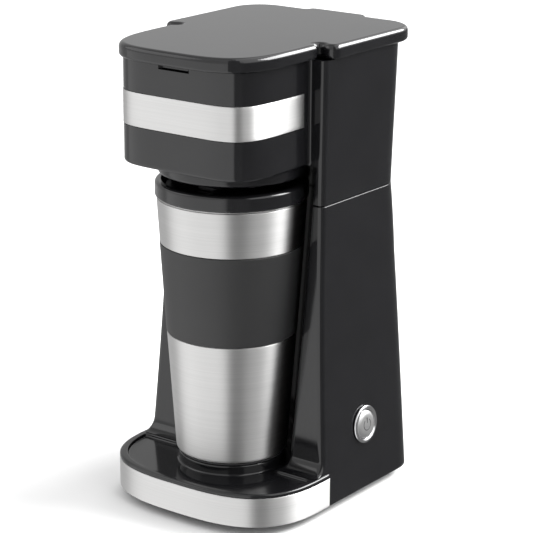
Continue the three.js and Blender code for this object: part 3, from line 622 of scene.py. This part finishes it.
def upperHousing():
    # rows go up the outside of the tower and the head, then down their inside; the hinge arm is joined on
    low, top = tower["seam"] + 0.2, tower["top"]
    seatLow, seatHigh = headBand["low"] - clearance, headBand["high"] + clearance
    zLow = edgeHeights(low, head["bottom"] - 0.05, tower["seamEdge"], 0, 8)
    zHigh = np.concatenate([
        edgeHeights(head["bottom"], seatLow, head["edge"], 0, 8),
        np.linspace(seatLow + 0.02, seatHigh - 0.02, 8),
        edgeHeights(seatHigh, recess["low"] - recess["edge"], 0, 0, 6),
        np.linspace(recess["low"] - recess["edge"] * 0.66, recess["low"] + 0.1, 4),
        np.linspace(recess["low"] + 1, top, 4)])
    below = raised(cheekSection(zLow, edgeInset(zLow, low, 999, tower["seamEdge"], 0.1)), zLow)
    path = bowPath(head, tower["front"] - head["corner"], columns["bow"])
    x, y = bowRows(head, path, 0.0).T
    seat = ((zHigh > seatLow + 0.01) & (zHigh < seatHigh - 0.01))[:, None]
    seat = seat * np.clip((headBand["back"] + 0.7 - y) / 0.5, 0, 1)
    rise = np.clip((zHigh - recess["low"] + recess["edge"]) / recess["edge"], 0, 1)[:, None]
    across = np.clip((recess["half"] + recess["edge"] - np.abs(x)) / recess["edge"], 0, 1)
    notch = rise * across * (y < -60)
    headInset = (edgeInset(zHigh, head["bottom"], 999, head["edge"], 0.1)[:, None]
                 + seat * (sheetThick + 0.2) + notch * recess["depth"])
    above = raised(headSection(zHigh, 0.0, headInset), zHigh)
    ceiling = head["bottom"] + wallThick
    thick = wallThick + notch[-1] * (recess["depth"] + recess["wall"] - wallThick)
    innerHigh = np.array([top, 278, 274, 273.9, 262, 240, ceiling])
    depth = np.where((innerHigh > 273.95)[:, None], thick, wallThick)
    innerAbove = raised(headSection(innerHigh, wallThick, depth), innerHigh)
    innerLow = np.linspace(ceiling - 0.05, low, 6)
    innerBelow = raised(cheekSection(innerLow, np.full_like(innerLow, wallThick)), innerLow)
    obj = newPiece("upper_housing_moulding",
                   [shell(np.concatenate([below, above, innerAbove, innerBelow]), closeRows=True)])
    hole = lathe([(0, 205), (spoutHole, 205), (spoutHole, 225), (0, 225)], [0] * 4, (0, bay["y"]), 96)
    cutWith(obj, [hole])
    post, knuckle, z = hinge["postFront"], hinge["knuckle"], hinge["z"]
    rear = post + hinge["postThick"]
    profile = roundedRows([(post, hinge["postLow"]), (rear, hinge["postLow"]), (rear, z - 2.6),
                           (hinge["y"], z - 2.6), (hinge["y"] + knuckle, z - knuckle + 0.4),
                           (hinge["y"] + knuckle, z + knuckle), (post, z + 2.5)],
                          [0.4, 0.4, 0.8, 0.6, 2.4, 2.9, 0.8], [0.5, 0, 0, 0.5], 8, 2)
    reach = np.array([-hinge["armHalf"], -hinge["armHalf"] + 0.5, hinge["armHalf"] - 0.5, hinge["armHalf"]])
    arm = np.concatenate([np.broadcast_to(reach[:, None, None], profile.shape[:2] + (1,)), profile], -1)
    middle = (post + 5, z)
    cutWith(obj, [shell(arm, (reach[0], *middle), (reach[-1], *middle))], "UNION")
    return finish(obj, glossBlack, "machine", ["upper_housing"])


def ribbon(name, shape, back, outside, inside, low, high, node):
    # a thin sheet bent round a bulged front: a rounded section carried along the front's path
    path = bowPath(shape, back, 260)
    r = (inside - outside) * 0.42
    corners = [(outside, low), (inside, low), (inside, high), (outside, high)]
    section = roundedRows(corners, [r] * 4, (0,), 5, 4)[0]
    rows = bowRows(shape, tuple(p[:, None] for p in path), section[None, :, 0])
    grid = np.concatenate([rows, np.broadcast_to(section[None, :, 1:], rows.shape[:2] + (1,))], -1)
    obj = newPiece(name, [shell(grid, grid[0].mean(0), grid[-1].mean(0))])
    return finish(obj, steel, "machine", [node])


stage("upper housing and bands")
upperHousing()
ribbon("head_band_sheet", head, headBand["back"], -headBand["proud"], sheetThick - headBand["proud"],
       headBand["low"], headBand["high"], "head_trim_band")
ribbon("base_band_sheet", base, base["back"], 0.0, sheetThick, 5.9, 24.3, "base_trim_band")


lid = {"low": 281.3, "high": 290.0, "rear": 81.0, "rearHalf": 64.5, "rearRadius": 22.0,
       "skirt": 3.6, "plate": 2.7, "lowEdge": 2.2, "topEdge": 3.2,
       "blockHalf": 22.0, "blockRear": 86.5, "blockRadius": 5.0,
       "lobe": {"half": 55.0, "reach": 69.0, "power": 3.7, "centreY": -17.5},
       "notch": [(55.0, -15.5, 3.3), (50.5, -12.5, 2.0), (51.5, -7.5, 2.5), (64.5, -14.5, 5.5)],
       "fingerHalf": 9.5, "fingerTop": 283.6}


def lidMoulding():
    # a bulged front lobe, a notch on each side and a rear lobe, drawn in row by row to round the edges
    front = bowRows(lid["lobe"], bowPath(lid["lobe"], lid["lobe"]["centreY"], 97), 0.0)[-2:0:-1]
    right = lid["notch"] + [(lid["rearHalf"], lid["rear"], lid["rearRadius"]),
                            (lid["blockHalf"], lid["rear"], 2),
                            (lid["blockHalf"], lid["blockRear"], lid["blockRadius"])]
    left = [(-x, y, r) for x, y, r in right[::-1]]
    corners = [tuple(point) for point in front] + [(x, y) for x, y, r in right + left]
    radii = [0] * len(front) + [r for x, y, r in right + left]
    quarter = np.linspace(0, np.pi / 2, 9)
    lowR, topR, ceiling = lid["lowEdge"], lid["topEdge"], lid["high"] - lid["plate"]
    inset = np.concatenate([
        lid["skirt"] + 0.8 * (1 - np.sin(quarter[::2])), [lid["skirt"]] * 3,
        lid["skirt"] - 0.4 * (1 - np.cos(quarter[::4])), lowR * (1 - np.sin(quarter)), [0, 0],
        topR * (1 - np.cos(quarter))])
    height = np.concatenate([
        ceiling - 0.8 * (1 - np.cos(quarter[::2])), np.linspace(ceiling - 1.5, lid["low"] + 1, 3),
        lid["low"] + 0.4 * (1 - np.sin(quarter[::4])), lid["low"] + lowR * (1 - np.cos(quarter)),
        [lid["low"] + lowR + 0.4, lid["high"] - topR - 0.4], lid["high"] - topR * (1 - np.sin(quarter))])
    # one flat face closes each end: the ceiling inside and the top
    rows = roundedRows(corners, radii, inset, 13, 3)
    points, quads, _ = shell(raised(rows, height))
    around = np.arange(rows.shape[1])
    caps = np.stack([around[::-1], around + len(points) - len(around)])
    obj = newPiece("lid_moulding", [(points, quads, caps)])
    room = blockShell((-hinge["armHalf"] - 0.4, 60, lid["low"] - 1),
                      (hinge["armHalf"] + 0.4, hinge["y"] + hinge["knuckle"] + 0.4, ceiling + 0.1))
    finger = blockShell((-lid["fingerHalf"], -95, lid["low"] - 3),
                        (lid["fingerHalf"], -82, lid["fingerTop"]), 1.2)
    cutWith(obj, [room])
    cutWith(obj, [finger])
    return finish(obj, glossBlack, "lid", ["lid"])


stage("lid")
lidMoulding()


deck = {"under": 7.6, "bandTop": 24.6, "dish": 25.0, "rimWidth": 4.6, "edge": 1.3, "cheekLine": -31.5,
        "backRound": 40.6, "dishRound": 37.2, "seatRadius": 33.0, "seat": 31.5, "seatEdge": 1.2,
        "middle": -45.0}


def softLess(a, b, blend):
    # smaller of two lengths with a rounded change-over
    return (a + b - np.sqrt((a - b) ** 2 + blend ** 2)) / 2


def softMore(a, b, blend):
    # larger of two lengths with a rounded change-over
    return (a + b + np.sqrt((a - b) ** 2 + blend ** 2)) / 2


def baseDeck():
    # rings seen from one middle point, each a distance by direction
    # it is the distance to the front curve, to a straight rear line or to a circle
    direction = np.linspace(0, 2 * np.pi, 360, endpoint=False)
    c, s = np.cos(direction), np.sin(direction)
    shift = bay["y"] - deck["middle"]

    def toCircle(radius):
        return shift * s + np.sqrt(radius ** 2 - (shift * c) ** 2)

    def toLine(y):
        return np.where(s > 0.01, (y - deck["middle"]) / np.maximum(s, 0.01), 400)

    def toFront(inset):
        path = bowPath(base, 20.0, 6000)
        x, y = bowRows(base, path, inset).T
        angle = np.mod(np.arctan2(y - deck["middle"], x) + np.pi / 2, 2 * np.pi) - np.pi / 2
        order = np.argsort(angle)
        at = np.mod(direction + np.pi / 2, 2 * np.pi) - np.pi / 2
        return np.interp(at, angle[order], np.hypot(x, y - deck["middle"])[order])

    def outer(inset, blend=0.6):
        front = softLess(toFront(inset), toLine(base["back"] - inset * 0.2), blend)
        return softMore(front, toCircle(deck["backRound"] - inset), blend)

    def dish(grow, blend=3.0):
        front = softLess(toFront(deck["rimWidth"] - grow), toLine(deck["cheekLine"] + grow), blend)
        return softMore(front, toCircle(deck["dishRound"] + grow), blend)

    quarter = np.linspace(0, np.pi / 2, 6)
    edge, inner, fillet = deck["edge"], sheetThick + clearance, 0.9
    seatEdge, seat = deck["seatEdge"], deck["seat"]
    drop = base["top"] - deck["dish"]
    rings, height = [], []

    def ring(distance, z):
        rings.append(distance)
        height.append(z)

    ring(outer(inner + wallThick) * 0.5, 21.5)
    ring(outer(inner + wallThick), 21.5)
    ring(outer(inner + wallThick), deck["under"])
    ring(outer(inner), deck["under"])
    ring(outer(inner), deck["bandTop"] - 0.05)
    ring(outer(0.25), deck["bandTop"])
    ring(outer(0), deck["bandTop"] + 0.25)
    for a in quarter:
        ring(outer(edge * (1 - math.cos(a))), base["top"] - edge * (1 - math.sin(a)))
    ring(softMore(dish(1.3), 0, 0.1), base["top"])
    for a in quarter:
        ring(dish(0.9 - fillet * math.sin(a)), base["top"] - fillet * (1 - math.cos(a)))
    for a in quarter[1:]:
        ring(dish(-fillet * (1 - math.cos(a))), base["top"] - fillet - (drop - fillet) * math.sin(a))
    flat, foot = dish(-fillet), toCircle(deck["seatRadius"] + 1.4)
    for share in (0.15, 0.5, 0.85, 1.0):
        ring(flat * (1 - share) + foot * share, deck["dish"])
    for a in quarter[1:]:
        ring(toCircle(deck["seatRadius"] + 1.4 * (1 - math.sin(a))), deck["dish"] + 1.4 * (1 - math.cos(a)))
    for a in quarter:
        ring(toCircle(deck["seatRadius"] - seatEdge * (1 - math.cos(a))),
             seat - seatEdge * (1 - math.sin(a)))
    ring(toCircle(deck["seatRadius"] - 3), seat)
    ring(toCircle(deck["seatRadius"] - 3) * 0.5, seat)
    rings, height = np.array(rings), np.array(height)
    rows = np.stack([rings * c, deck["middle"] + rings * s], -1)
    middle = (0, deck["middle"])
    obj = newPiece("base_deck_moulding", [shell(raised(rows, height), (*middle, 21.5), (*middle, seat))])
    return finish(obj, glossBlack, "machine", ["base_deck"])


stage("base deck")
baseDeck()


mug = {"y": bay["y"], "foot": 33.2, "rim": 193.7, "footRadius": 34.6, "slope": 0.068, "seat": 31.8,
       "sleeveLow": 109.4, "sleeveHigh": 165.6, "sleeveDepth": 1.2, "sleeveProud": 0.2, "liner": 3.6}
axis = (0.0, mug["y"])


def mugRadius(z):
    # a straight taper from the foot up
    return mug["footRadius"] + mug["slope"] * (z - mug["foot"])


def turnedPiece(name, corners, radii, material, body, nodes, closed=True, runPoints=6):
    # a rounded profile turned about the mug's axis
    obj = newPiece(name, [lathe(corners, radii, axis, 168, 7, runPoints, closed)])
    return finish(obj, material, body, nodes)


def travelMug():
    # four turned pieces: outer wall with a seat for the sleeve, inner wall with the rim, sleeve and foot cap
    r, s = mugRadius, sheetThick
    low, high = mug["sleeveLow"] - clearance, mug["sleeveHigh"] + clearance
    deep, foot, rim = mug["sleeveDepth"], mug["foot"], mug["rim"]
    turnedPiece("mug_outer_wall", [
        (31.5, foot), (r(foot) - 0.3, foot), (r(low), low), (r(low) - deep, low),
        (r(high) - deep, high), (r(high), high), (r(rim), rim), (r(rim) - s, rim),
        (r(high) - s, high + s), (r(high) - deep - s, high + s),
        (r(low) - deep - s, low - s), (r(low) - s, low - s), (r(36) - s, 36), (31.5, 34.4)],
        [0.4, 2.2, 0.35, 0.2, 0.2, 0.35, 0.38, 0.38, 0.3, 0.3, 0.3, 0.3, 1.5, 0.4],
        steel, "mug", ["mug_shell"], runPoints=10)
    inner = mug["liner"] + s
    turnedPiece("mug_inner_wall", [
        (0, 39.2), (r(40) - mug["liner"], 39.2), (r(189) - mug["liner"], 189), (43.6, rim + 0.3),
        (45.3, rim + 0.3), (45.3, rim + 1), (42.2, rim + 1), (r(189) - inner, 188.6),
        (r(42) - inner, 40), (0, 40)],
        [0, 4.5, 3, 0.6, 0.34, 0.34, 1.2, 4, 4, 0],
        steel, "mug", ["mug_liner"], False, runPoints=8)
    low, high, out = mug["sleeveLow"], mug["sleeveHigh"], mug["sleeveProud"]
    turnedPiece("mug_grip_sleeve", [
        (r(low) + clearance - deep, low), (r(low) + out, low), (r(high) + out, high),
        (r(high) + clearance - deep, high)],
        [0.2, 0.55, 0.55, 0.2], gripRubber, "mug", ["mug_sleeve"], runPoints=12)
    turnedPiece("mug_foot_cap", [
        (0, mug["seat"] + 0.9), (29.5, mug["seat"] + 0.9), (30.4, mug["seat"]), (33, mug["seat"]),
        (33, foot - 0.3), (31.2, foot - 0.3), (31.2, 36), (0, 36)], [0, 0.4, 0.3, 0.4, 0.4, 0.2, 0.5, 0],
        mattBlack, "mug", ["mug_base_cap"], False)


mugLid = {"low": 195.1, "high": 204.5, "radius": 46.6, "floor": 201.2, "plug": 38.8, "plugLow": 187.0,
          "drink": (6.0, -35.0, -28.0), "inlet": 5.0, "rail": 8.3}


def travelMugLid():
    # a turned cap with two rails for the slider, a drinking slot and a round inlet
    low, high, radius, floor, plug = (mugLid[k] for k in ("low", "high", "radius", "floor", "plug"))
    body = lathe([
        (0, floor - 2.4), (plug - 2, floor - 2.4), (plug - 2, mugLid["plugLow"]), (plug, mugLid["plugLow"]),
        (plug, low), (radius, low), (radius - 0.2, high), (radius - 4.4, high), (radius - 6.4, floor),
        (0, floor)],
        [0, 1.2, 0.6, 0.6, 0.4, 0.9, 2.2, 1.3, 1.4, 0], axis, 168, 8, 6)
    obj = newPiece("mug_lid_moulding", [body])
    half, front, rear = mugLid["drink"]
    rails = [blockShell((side * mugLid["rail"] - 0.8, axis[1] - 36, floor - 1),
                        (side * mugLid["rail"] + 0.8, axis[1] - 6, floor + 1.8), 0.5) for side in (-1, 1)]
    cutWith(obj, rails, "UNION")
    mouth = blockShell((-half, axis[1] + front, floor - 5), (half, axis[1] + rear, floor + 3), 2.4, 7)
    wide = mugLid["inlet"]
    inlet = lathe([(0, floor - 5), (wide, floor - 5), (wide, floor + 3), (0, floor + 3)], [0] * 4, axis, 64)
    cutWith(obj, [mouth, inlet])
    finish(obj, glossBlack, "mug_lid", ["mug_lid"])
    turnedPiece("mug_lid_seal", [
        (plug + 0.3, 189), (plug + 1.6, 189.3), (plug + 1.6, 191.7), (plug + 0.3, 192)],
        [0.3, 0.6, 0.6, 0.3], silicone, "mug_lid", ["mug_lid_gasket"])


slider = {"half": 7.0, "front": -25.0, "rear": -7.0, "low": 201.5, "high": 203.7,
          "grip": (5.0, -17.2, -14.8, 1.4)}


def roundedBlock(x, y, z, corner, edge):
    # a block with rounded upright corners and rounded top and bottom edges
    heights = edgeHeights(z[0], z[1], edge, edge, 2, 4)
    inset = edgeInset(heights, z[0], z[1], edge, edge)
    rows = roundedRows([(x[0], y[0]), (x[1], y[0]), (x[1], y[1]), (x[0], y[1])], [corner] * 4, inset, 7, 4)
    middle = (sum(x) / 2, sum(y) / 2)
    return shell(raised(rows, heights), (*middle, z[0]), (*middle, z[1]))


def drinkSlider():
    # a flat tab with a finger grip across it
    half, y = slider["half"], axis[1]
    tab = roundedBlock((-half, half), (y + slider["front"], y + slider["rear"]),
                       (slider["low"], slider["high"]), 2.0, 0.5)
    obj = newPiece("drink_slider_tab", [tab])
    gripHalf, front, rear, tall = slider["grip"]
    cutWith(obj, [roundedBlock((-gripHalf, gripHalf), (y + front, y + rear),
                               (slider["high"] - 1, slider["high"] + tall), 1.1, 0.4)], "UNION")
    finish(obj, mattBlack, "drink_slider", ["mug_lid_slider"])


stage("travel mug")
travelMug()
travelMugLid()
drinkSlider()


button = {"face": 8.8, "bezel": 12.2, "ring": 3.6, "line": 0.55, "rise": 0.14, "gapAngle": 38, "bar": 3.5}


def onButton(part):
    # a shell made along Z, laid on the slope of the right wall
    return placed(part, buttonTurn, buttonShift)


def powerButton():
    # a plated ring round a satin dome, both turned profiles
    rim = lathe([(9.2, -6), (10.4, -6), (10.4, 0.5), (button["bezel"], 0.5), (11.7, 1.7), (10.4, 2.1),
                 (9.2, 1.4)], [0.2, 0.2, 0.1, 0.5, 0.7, 0.6, 0.3], (0, 0), 120, 7, 4, True)
    obj = newPiece("button_ring", [onButton(rim)])
    finish(obj, chrome, "machine", ["button_bezel"])
    dome = lathe([(0, -5), (button["face"], -5), (button["face"], 1.4), (6.4, 2.25), (0, 2.6)],
                 [0, 0.3, 1.2, 6, 0], (0, 0), 120, 8, 5)
    face = newPiece("button_dome", [onButton(dome)])
    finish(face, buttonSilver, "button", ["power_button"], 40)


def domeHeight(radius):
    # height of the button's face at a distance from its middle: a straight fall of 0.35 in 6.4
    return 2.6 - 0.35 * (radius / 6.4)


def powerSign():
    # a broken ring and a bar standing a hair above the face
    gapAngle = math.radians(button["gapAngle"])
    along = np.linspace(gapAngle, 2 * np.pi - gapAngle, 90)
    line, rise = button["line"] / 2, button["rise"]
    corners = [(-line, -0.4), (line, -0.4), (line, rise), (-line, rise)]
    section = roundedRows(corners, [0.1, 0.1, 0.12, 0.12], (0,), 4, 2)[0]
    r = button["ring"] + section[None, :, 0]
    x, y = -r * np.cos(along[:, None]), r * np.sin(along[:, None])
    grid = np.stack(np.broadcast_arrays(x, y, domeHeight(button["ring"]) + section[None, :, 1]), -1)
    ring = shell(grid, grid[0].mean(0), grid[-1].mean(0))
    start = -button["ring"] - 0.9
    bar = roundedBlock((start, start + button["bar"]), (-line, line),
                       (1.9, domeHeight(2.4) + rise), 0.12, 0.1)
    obj = newPiece("button_power_sign", [onButton(ring), onButton(bar)])
    finish(obj, mattBlack, "button")


foot = {"radius": 9.5, "height": 4.9, "places": [(51, 50), (-51, 50), (44, -48), (-44, -48)]}
screw = {"head": 3.0, "shank": 1.4, "slot": 0.3, "places": [(34, 74.5), (-34, 74.5), (26, -62), (-26, -62)]}


def feetAndScrews():
    # a turned pad with a groove in its sole at each corner, and cross-slotted screws up through the plate
    for i, place in enumerate(foot["places"]):
        r, h = foot["radius"], foot["height"]
        part = lathe([(0, 0), (r - 3.2, 0), (r - 3.0, 0.5), (r - 2.2, 0.5), (r - 2.0, 0), (r - 0.4, 0),
                      (r, 2.2), (r - 0.5, h), (0, h)],
                     [0, 0.15, 0.1, 0.1, 0.15, 0.8, 1.0, 0.3, 0], place, 72, 5, 3)
        obj = newPiece(f"rubber_foot_{i + 1}", [part])
        finish(obj, rubber, "machine", [f"foot_{i + 1}"])
    for i, (x, y) in enumerate(screw["places"]):
        r, shank, half = screw["head"], screw["shank"], screw["slot"]
        obj = newPiece(f"case_screw_{i + 1}", [lathe(
            [(0, 3.5), (r - 0.7, 3.5), (r, 4.2), (r, 4.9), (shank, 4.9), (shank, 16), (0, 17)],
            [0, 0.5, 0.4, 0.1, 0.1, 0.3, 0], (x, y), 40, 5, 2)])
        cutWith(obj, [blockShell((x - 1.6, y - half, 3.2), (x + 1.6, y + half, 4.3)),
                      blockShell((x - half, y - 1.6, 3.2), (x + half, y + 1.6, 4.3))])
        finish(obj, chrome, "machine", [f"base_screw_{i + 1}"])


def cordGland():
    # a flanged bush turned about its bore, laid through the rear wall
    f, b, bore = gland["flange"], gland["barrel"], gland["bore"]
    part = lathe([(bore, -7), (b, -7), (b, 0.5), (f, 0.5), (f - 0.6, 3), (bore, 3)],
                 [0.5, 0.4, 0.2, 0.6, 1.2, 0.8], (0, 0), 72, 6, 3, True)
    obj = newPiece("cord_grommet", [placed(part, glandTurn, glandShift)])
    finish(obj, rubber, "machine", ["cord_gland"])


stage("button, gland, feet and screws")
powerButton()
powerSign()
feetAndScrews()
cordGland()


outlet = {"low": 209.0, "high": 217.2, "outer": 44.7, "wall": 2.5, "hole": 9.0}
bucket = {"low": 212.5, "top": 276.0, "topRadius": 42.4, "floor": 229.0, "floorRadius": 37.0, "wall": 1.8,
          "bore": 2.5, "spout": 4.5}
cone = {"low": 236.3, "high": 271.7, "foot": 236.0, "footRadius": 29.4, "slope": 8.8 / 36.0, "thick": 0.5,
        "mapRadius": 34.0}


def brewParts():
    # the cup under the head and the basket with its spout, both turned about the mug's axis
    o, b = outlet, bucket
    inner, floor = o["outer"] - o["wall"], o["low"] + o["wall"]
    turnedPiece("outlet_cup", [
        (o["hole"], o["low"]), (o["outer"], o["low"]), (o["outer"], o["high"]), (inner, o["high"]),
        (inner, floor), (o["hole"], floor)],
        [0.5, 2.4, 0.4, 0.4, 1.5, 0.5], glossBlack, "machine", ["outlet_collar"])
    turnedPiece("filter_bucket", [
        (b["bore"], b["low"]), (b["spout"], b["low"]), (b["spout"], 224.5), (b["floorRadius"], 226.6),
        (b["topRadius"], b["top"]), (b["topRadius"] - b["wall"], b["top"]),
        (b["floorRadius"] - b["wall"], b["floor"]), (b["bore"], 226.5)],
        [0.4, 0.4, 2, 5, 0.5, 0.5, 4, 1], mattBlack, "basket", ["filter_basket"])


def filterCone():
    # thin woven wall with its own map: distance round it and up it in millimetres
    low, high, thick = cone["low"], cone["high"], cone["thick"]
    radius = [cone["footRadius"] + cone["slope"] * (z - cone["foot"]) for z in (low, high)]
    part = lathe([(radius[0] - thick, low), (radius[0], low), (radius[1], high), (radius[1] - thick, high)],
                 [0.1] * 4, axis, 180, 3, 10, True)
    obj = newPiece("filter_gauze", [part])
    mesh = obj.data
    corner = np.zeros(len(mesh.loops), int)
    mesh.loops.foreach_get("vertex_index", corner)
    points = part[0][corner]
    angle = np.arctan2(points[:, 1] - axis[1], points[:, 0])
    start = np.zeros(len(mesh.polygons), int)
    total = np.zeros(len(mesh.polygons), int)
    mesh.polygons.foreach_get("loop_start", start)
    mesh.polygons.foreach_get("loop_total", total)
    first = np.repeat(angle[start], total)
    angle = angle + 2 * np.pi * np.round((first - angle) / (2 * np.pi))
    turns = round(2 * np.pi * cone["mapRadius"] / meshLook["pitch"]) * meshLook["pitch"] / (2 * np.pi)
    uv = mesh.uv_layers.new(name="weave")
    uv.data.foreach_set("uv", np.stack([angle * turns, points[:, 2]], 1).ravel())
    finish(obj, filterWeave, "filter", ["filter_mesh"])


stage("brew parts")
brewParts()
filterCone()


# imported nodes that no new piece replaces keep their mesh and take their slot's finish
stage("inner pieces")
shown = {name: obj for name, obj in frame["nodes"].items() if not obj.hide_render}
slots = {row["node"]: row["material_slot"] for row in frame["record"]["subparts"]}
for name, obj in shown.items():
    obj.data.materials.clear()
    obj.data.materials.append(slotFinish[slots[name]])


# lens, sensor, place and aim in millimetres, reach and floorHalf in metres, roll in radians
view = {"lens": 143.7, "sensor": 36.0, "reach": 50.0, "roll": 0.00535,
        "place": (755.03, -1007.07, 522.28), "aim": (-0.07, 10.0, 140.13)}
studio = {"floorHalf": 9.0, "level": 1.05, "right": 0.85, "lens": 0.75, "high": 0.85, "behind": 0.38,
          "front": 0.45}


def viewCamera():
    # looks from its place to its aim, turned a little about that line
    made = bpy.data.cameras.new("camera")
    made.lens, made.sensor_width = view["lens"], view["sensor"]
    made.clip_end = view["reach"]
    obj = bpy.data.objects.new("camera", made)
    bpy.context.scene.collection.objects.link(obj)
    place, aim = Vector(view["place"]) * mm, Vector(view["aim"]) * mm
    turn = (aim - place).to_track_quat("-Z", "Y").to_matrix().to_4x4()
    roll = Matrix.Rotation(view["roll"], 4, "Z")
    obj.matrix_world = Matrix.Translation(place) @ turn @ roll
    bpy.context.scene.camera = obj


def softBox(name, azimuth, elevation, distance, size, power, aim=(0, 0, 0.15)):
    # a rectangular lamp at an angle and a distance from its aim, facing it
    made = bpy.data.lights.new(name, "AREA")
    made.shape, made.size, made.size_y, made.energy = "RECTANGLE", size[0], size[1], power
    obj = bpy.data.objects.new(name, made)
    bpy.context.scene.collection.objects.link(obj)
    a, e = math.radians(azimuth), math.radians(elevation)
    aim = Vector(aim)
    toward = Vector((math.cos(a) * math.cos(e), math.sin(a) * math.cos(e), math.sin(e)))
    obj.location = aim + distance * toward
    obj.rotation_euler = (aim - obj.location).to_track_quat("-Z", "Y").to_euler()
    obj.visible_camera = False


def studioWorld():
    # brightness by direction: pale all round, dim towards the lens, behind and low on the right
    # it is brighter high on the right and low in front
    world = bpy.data.worlds.new("studio")
    bpy.context.scene.world = world
    g = Graph(world)
    own = g.node("ShaderNodeTexCoord", out="Generated")
    x, y, z = g.axes(own)
    azimuth = y.maths("ARCTAN2", x) * (180 / math.pi)

    def wedge(start, end, soft):
        # 1 between two azimuths, fading to 0 outside them
        return g.ramp(azimuth, start - soft, start + soft) * (1 - g.ramp(azimuth, end - soft, end + soft))

    right = wedge(-26.0, 100.0, 2.0) * (1 - g.ramp(z, 0.0, 0.3))
    lens = wedge(-60.0, -26.0, 2.0)
    high = wedge(-26.0, 110.0, 5.0) * g.ramp(z, 0.08, 0.35)
    behind = g.ramp(azimuth, 100.0, 115.0) + 1 - g.ramp(azimuth, -172.0, -150.0)
    front = wedge(-165.0, -64.0, 5.0) * (1 - g.ramp(z, -0.1, 0.15))
    level = (studio["level"] - right * studio["right"] - lens * studio["lens"] + high * studio["high"]
             - behind * studio["behind"] + front * studio["front"])
    back = g.node("ShaderNodeBackground", inputs={"Color": (1, 1, 1, 1), "Strength": level})
    g.node("ShaderNodeOutputWorld", inputs={"Surface": back})


stage("studio")
viewCamera()
studioWorld()
softBox("key_strip", 52, 37, 1.6, (1.5, 0.75), 54)
softBox("front_left", -150, 35, 1.8, (1.4, 1.0), 4)


def floorPlane():
    # one pale square at z = 0, left out of reflections
    half = studio["floorHalf"]
    corners = [(-half, -half, 0), (half, -half, 0), (half, half, 0), (-half, half, 0)]
    mesh = bpy.data.meshes.new("floor")
    mesh.from_pydata(corners, [], [(0, 1, 2, 3)])
    obj = bpy.data.objects.new("floor", mesh)
    bpy.context.scene.collection.objects.link(obj)
    made, g = newMaterial("pale floor")
    cloud = g.noise(g.place(), 3.0, 3.0)
    g.surface({"Base Color": g.shade(cloud, (0.9, 0.9, 0.9), (0.93, 0.93, 0.93)), "Roughness": 0.9,
               "Specular IOR Level": 0.0})
    mesh.materials.append(made)
    obj.visible_glossy = False


floorPlane()
bpy.context.scene.view_settings.view_transform = "Standard"
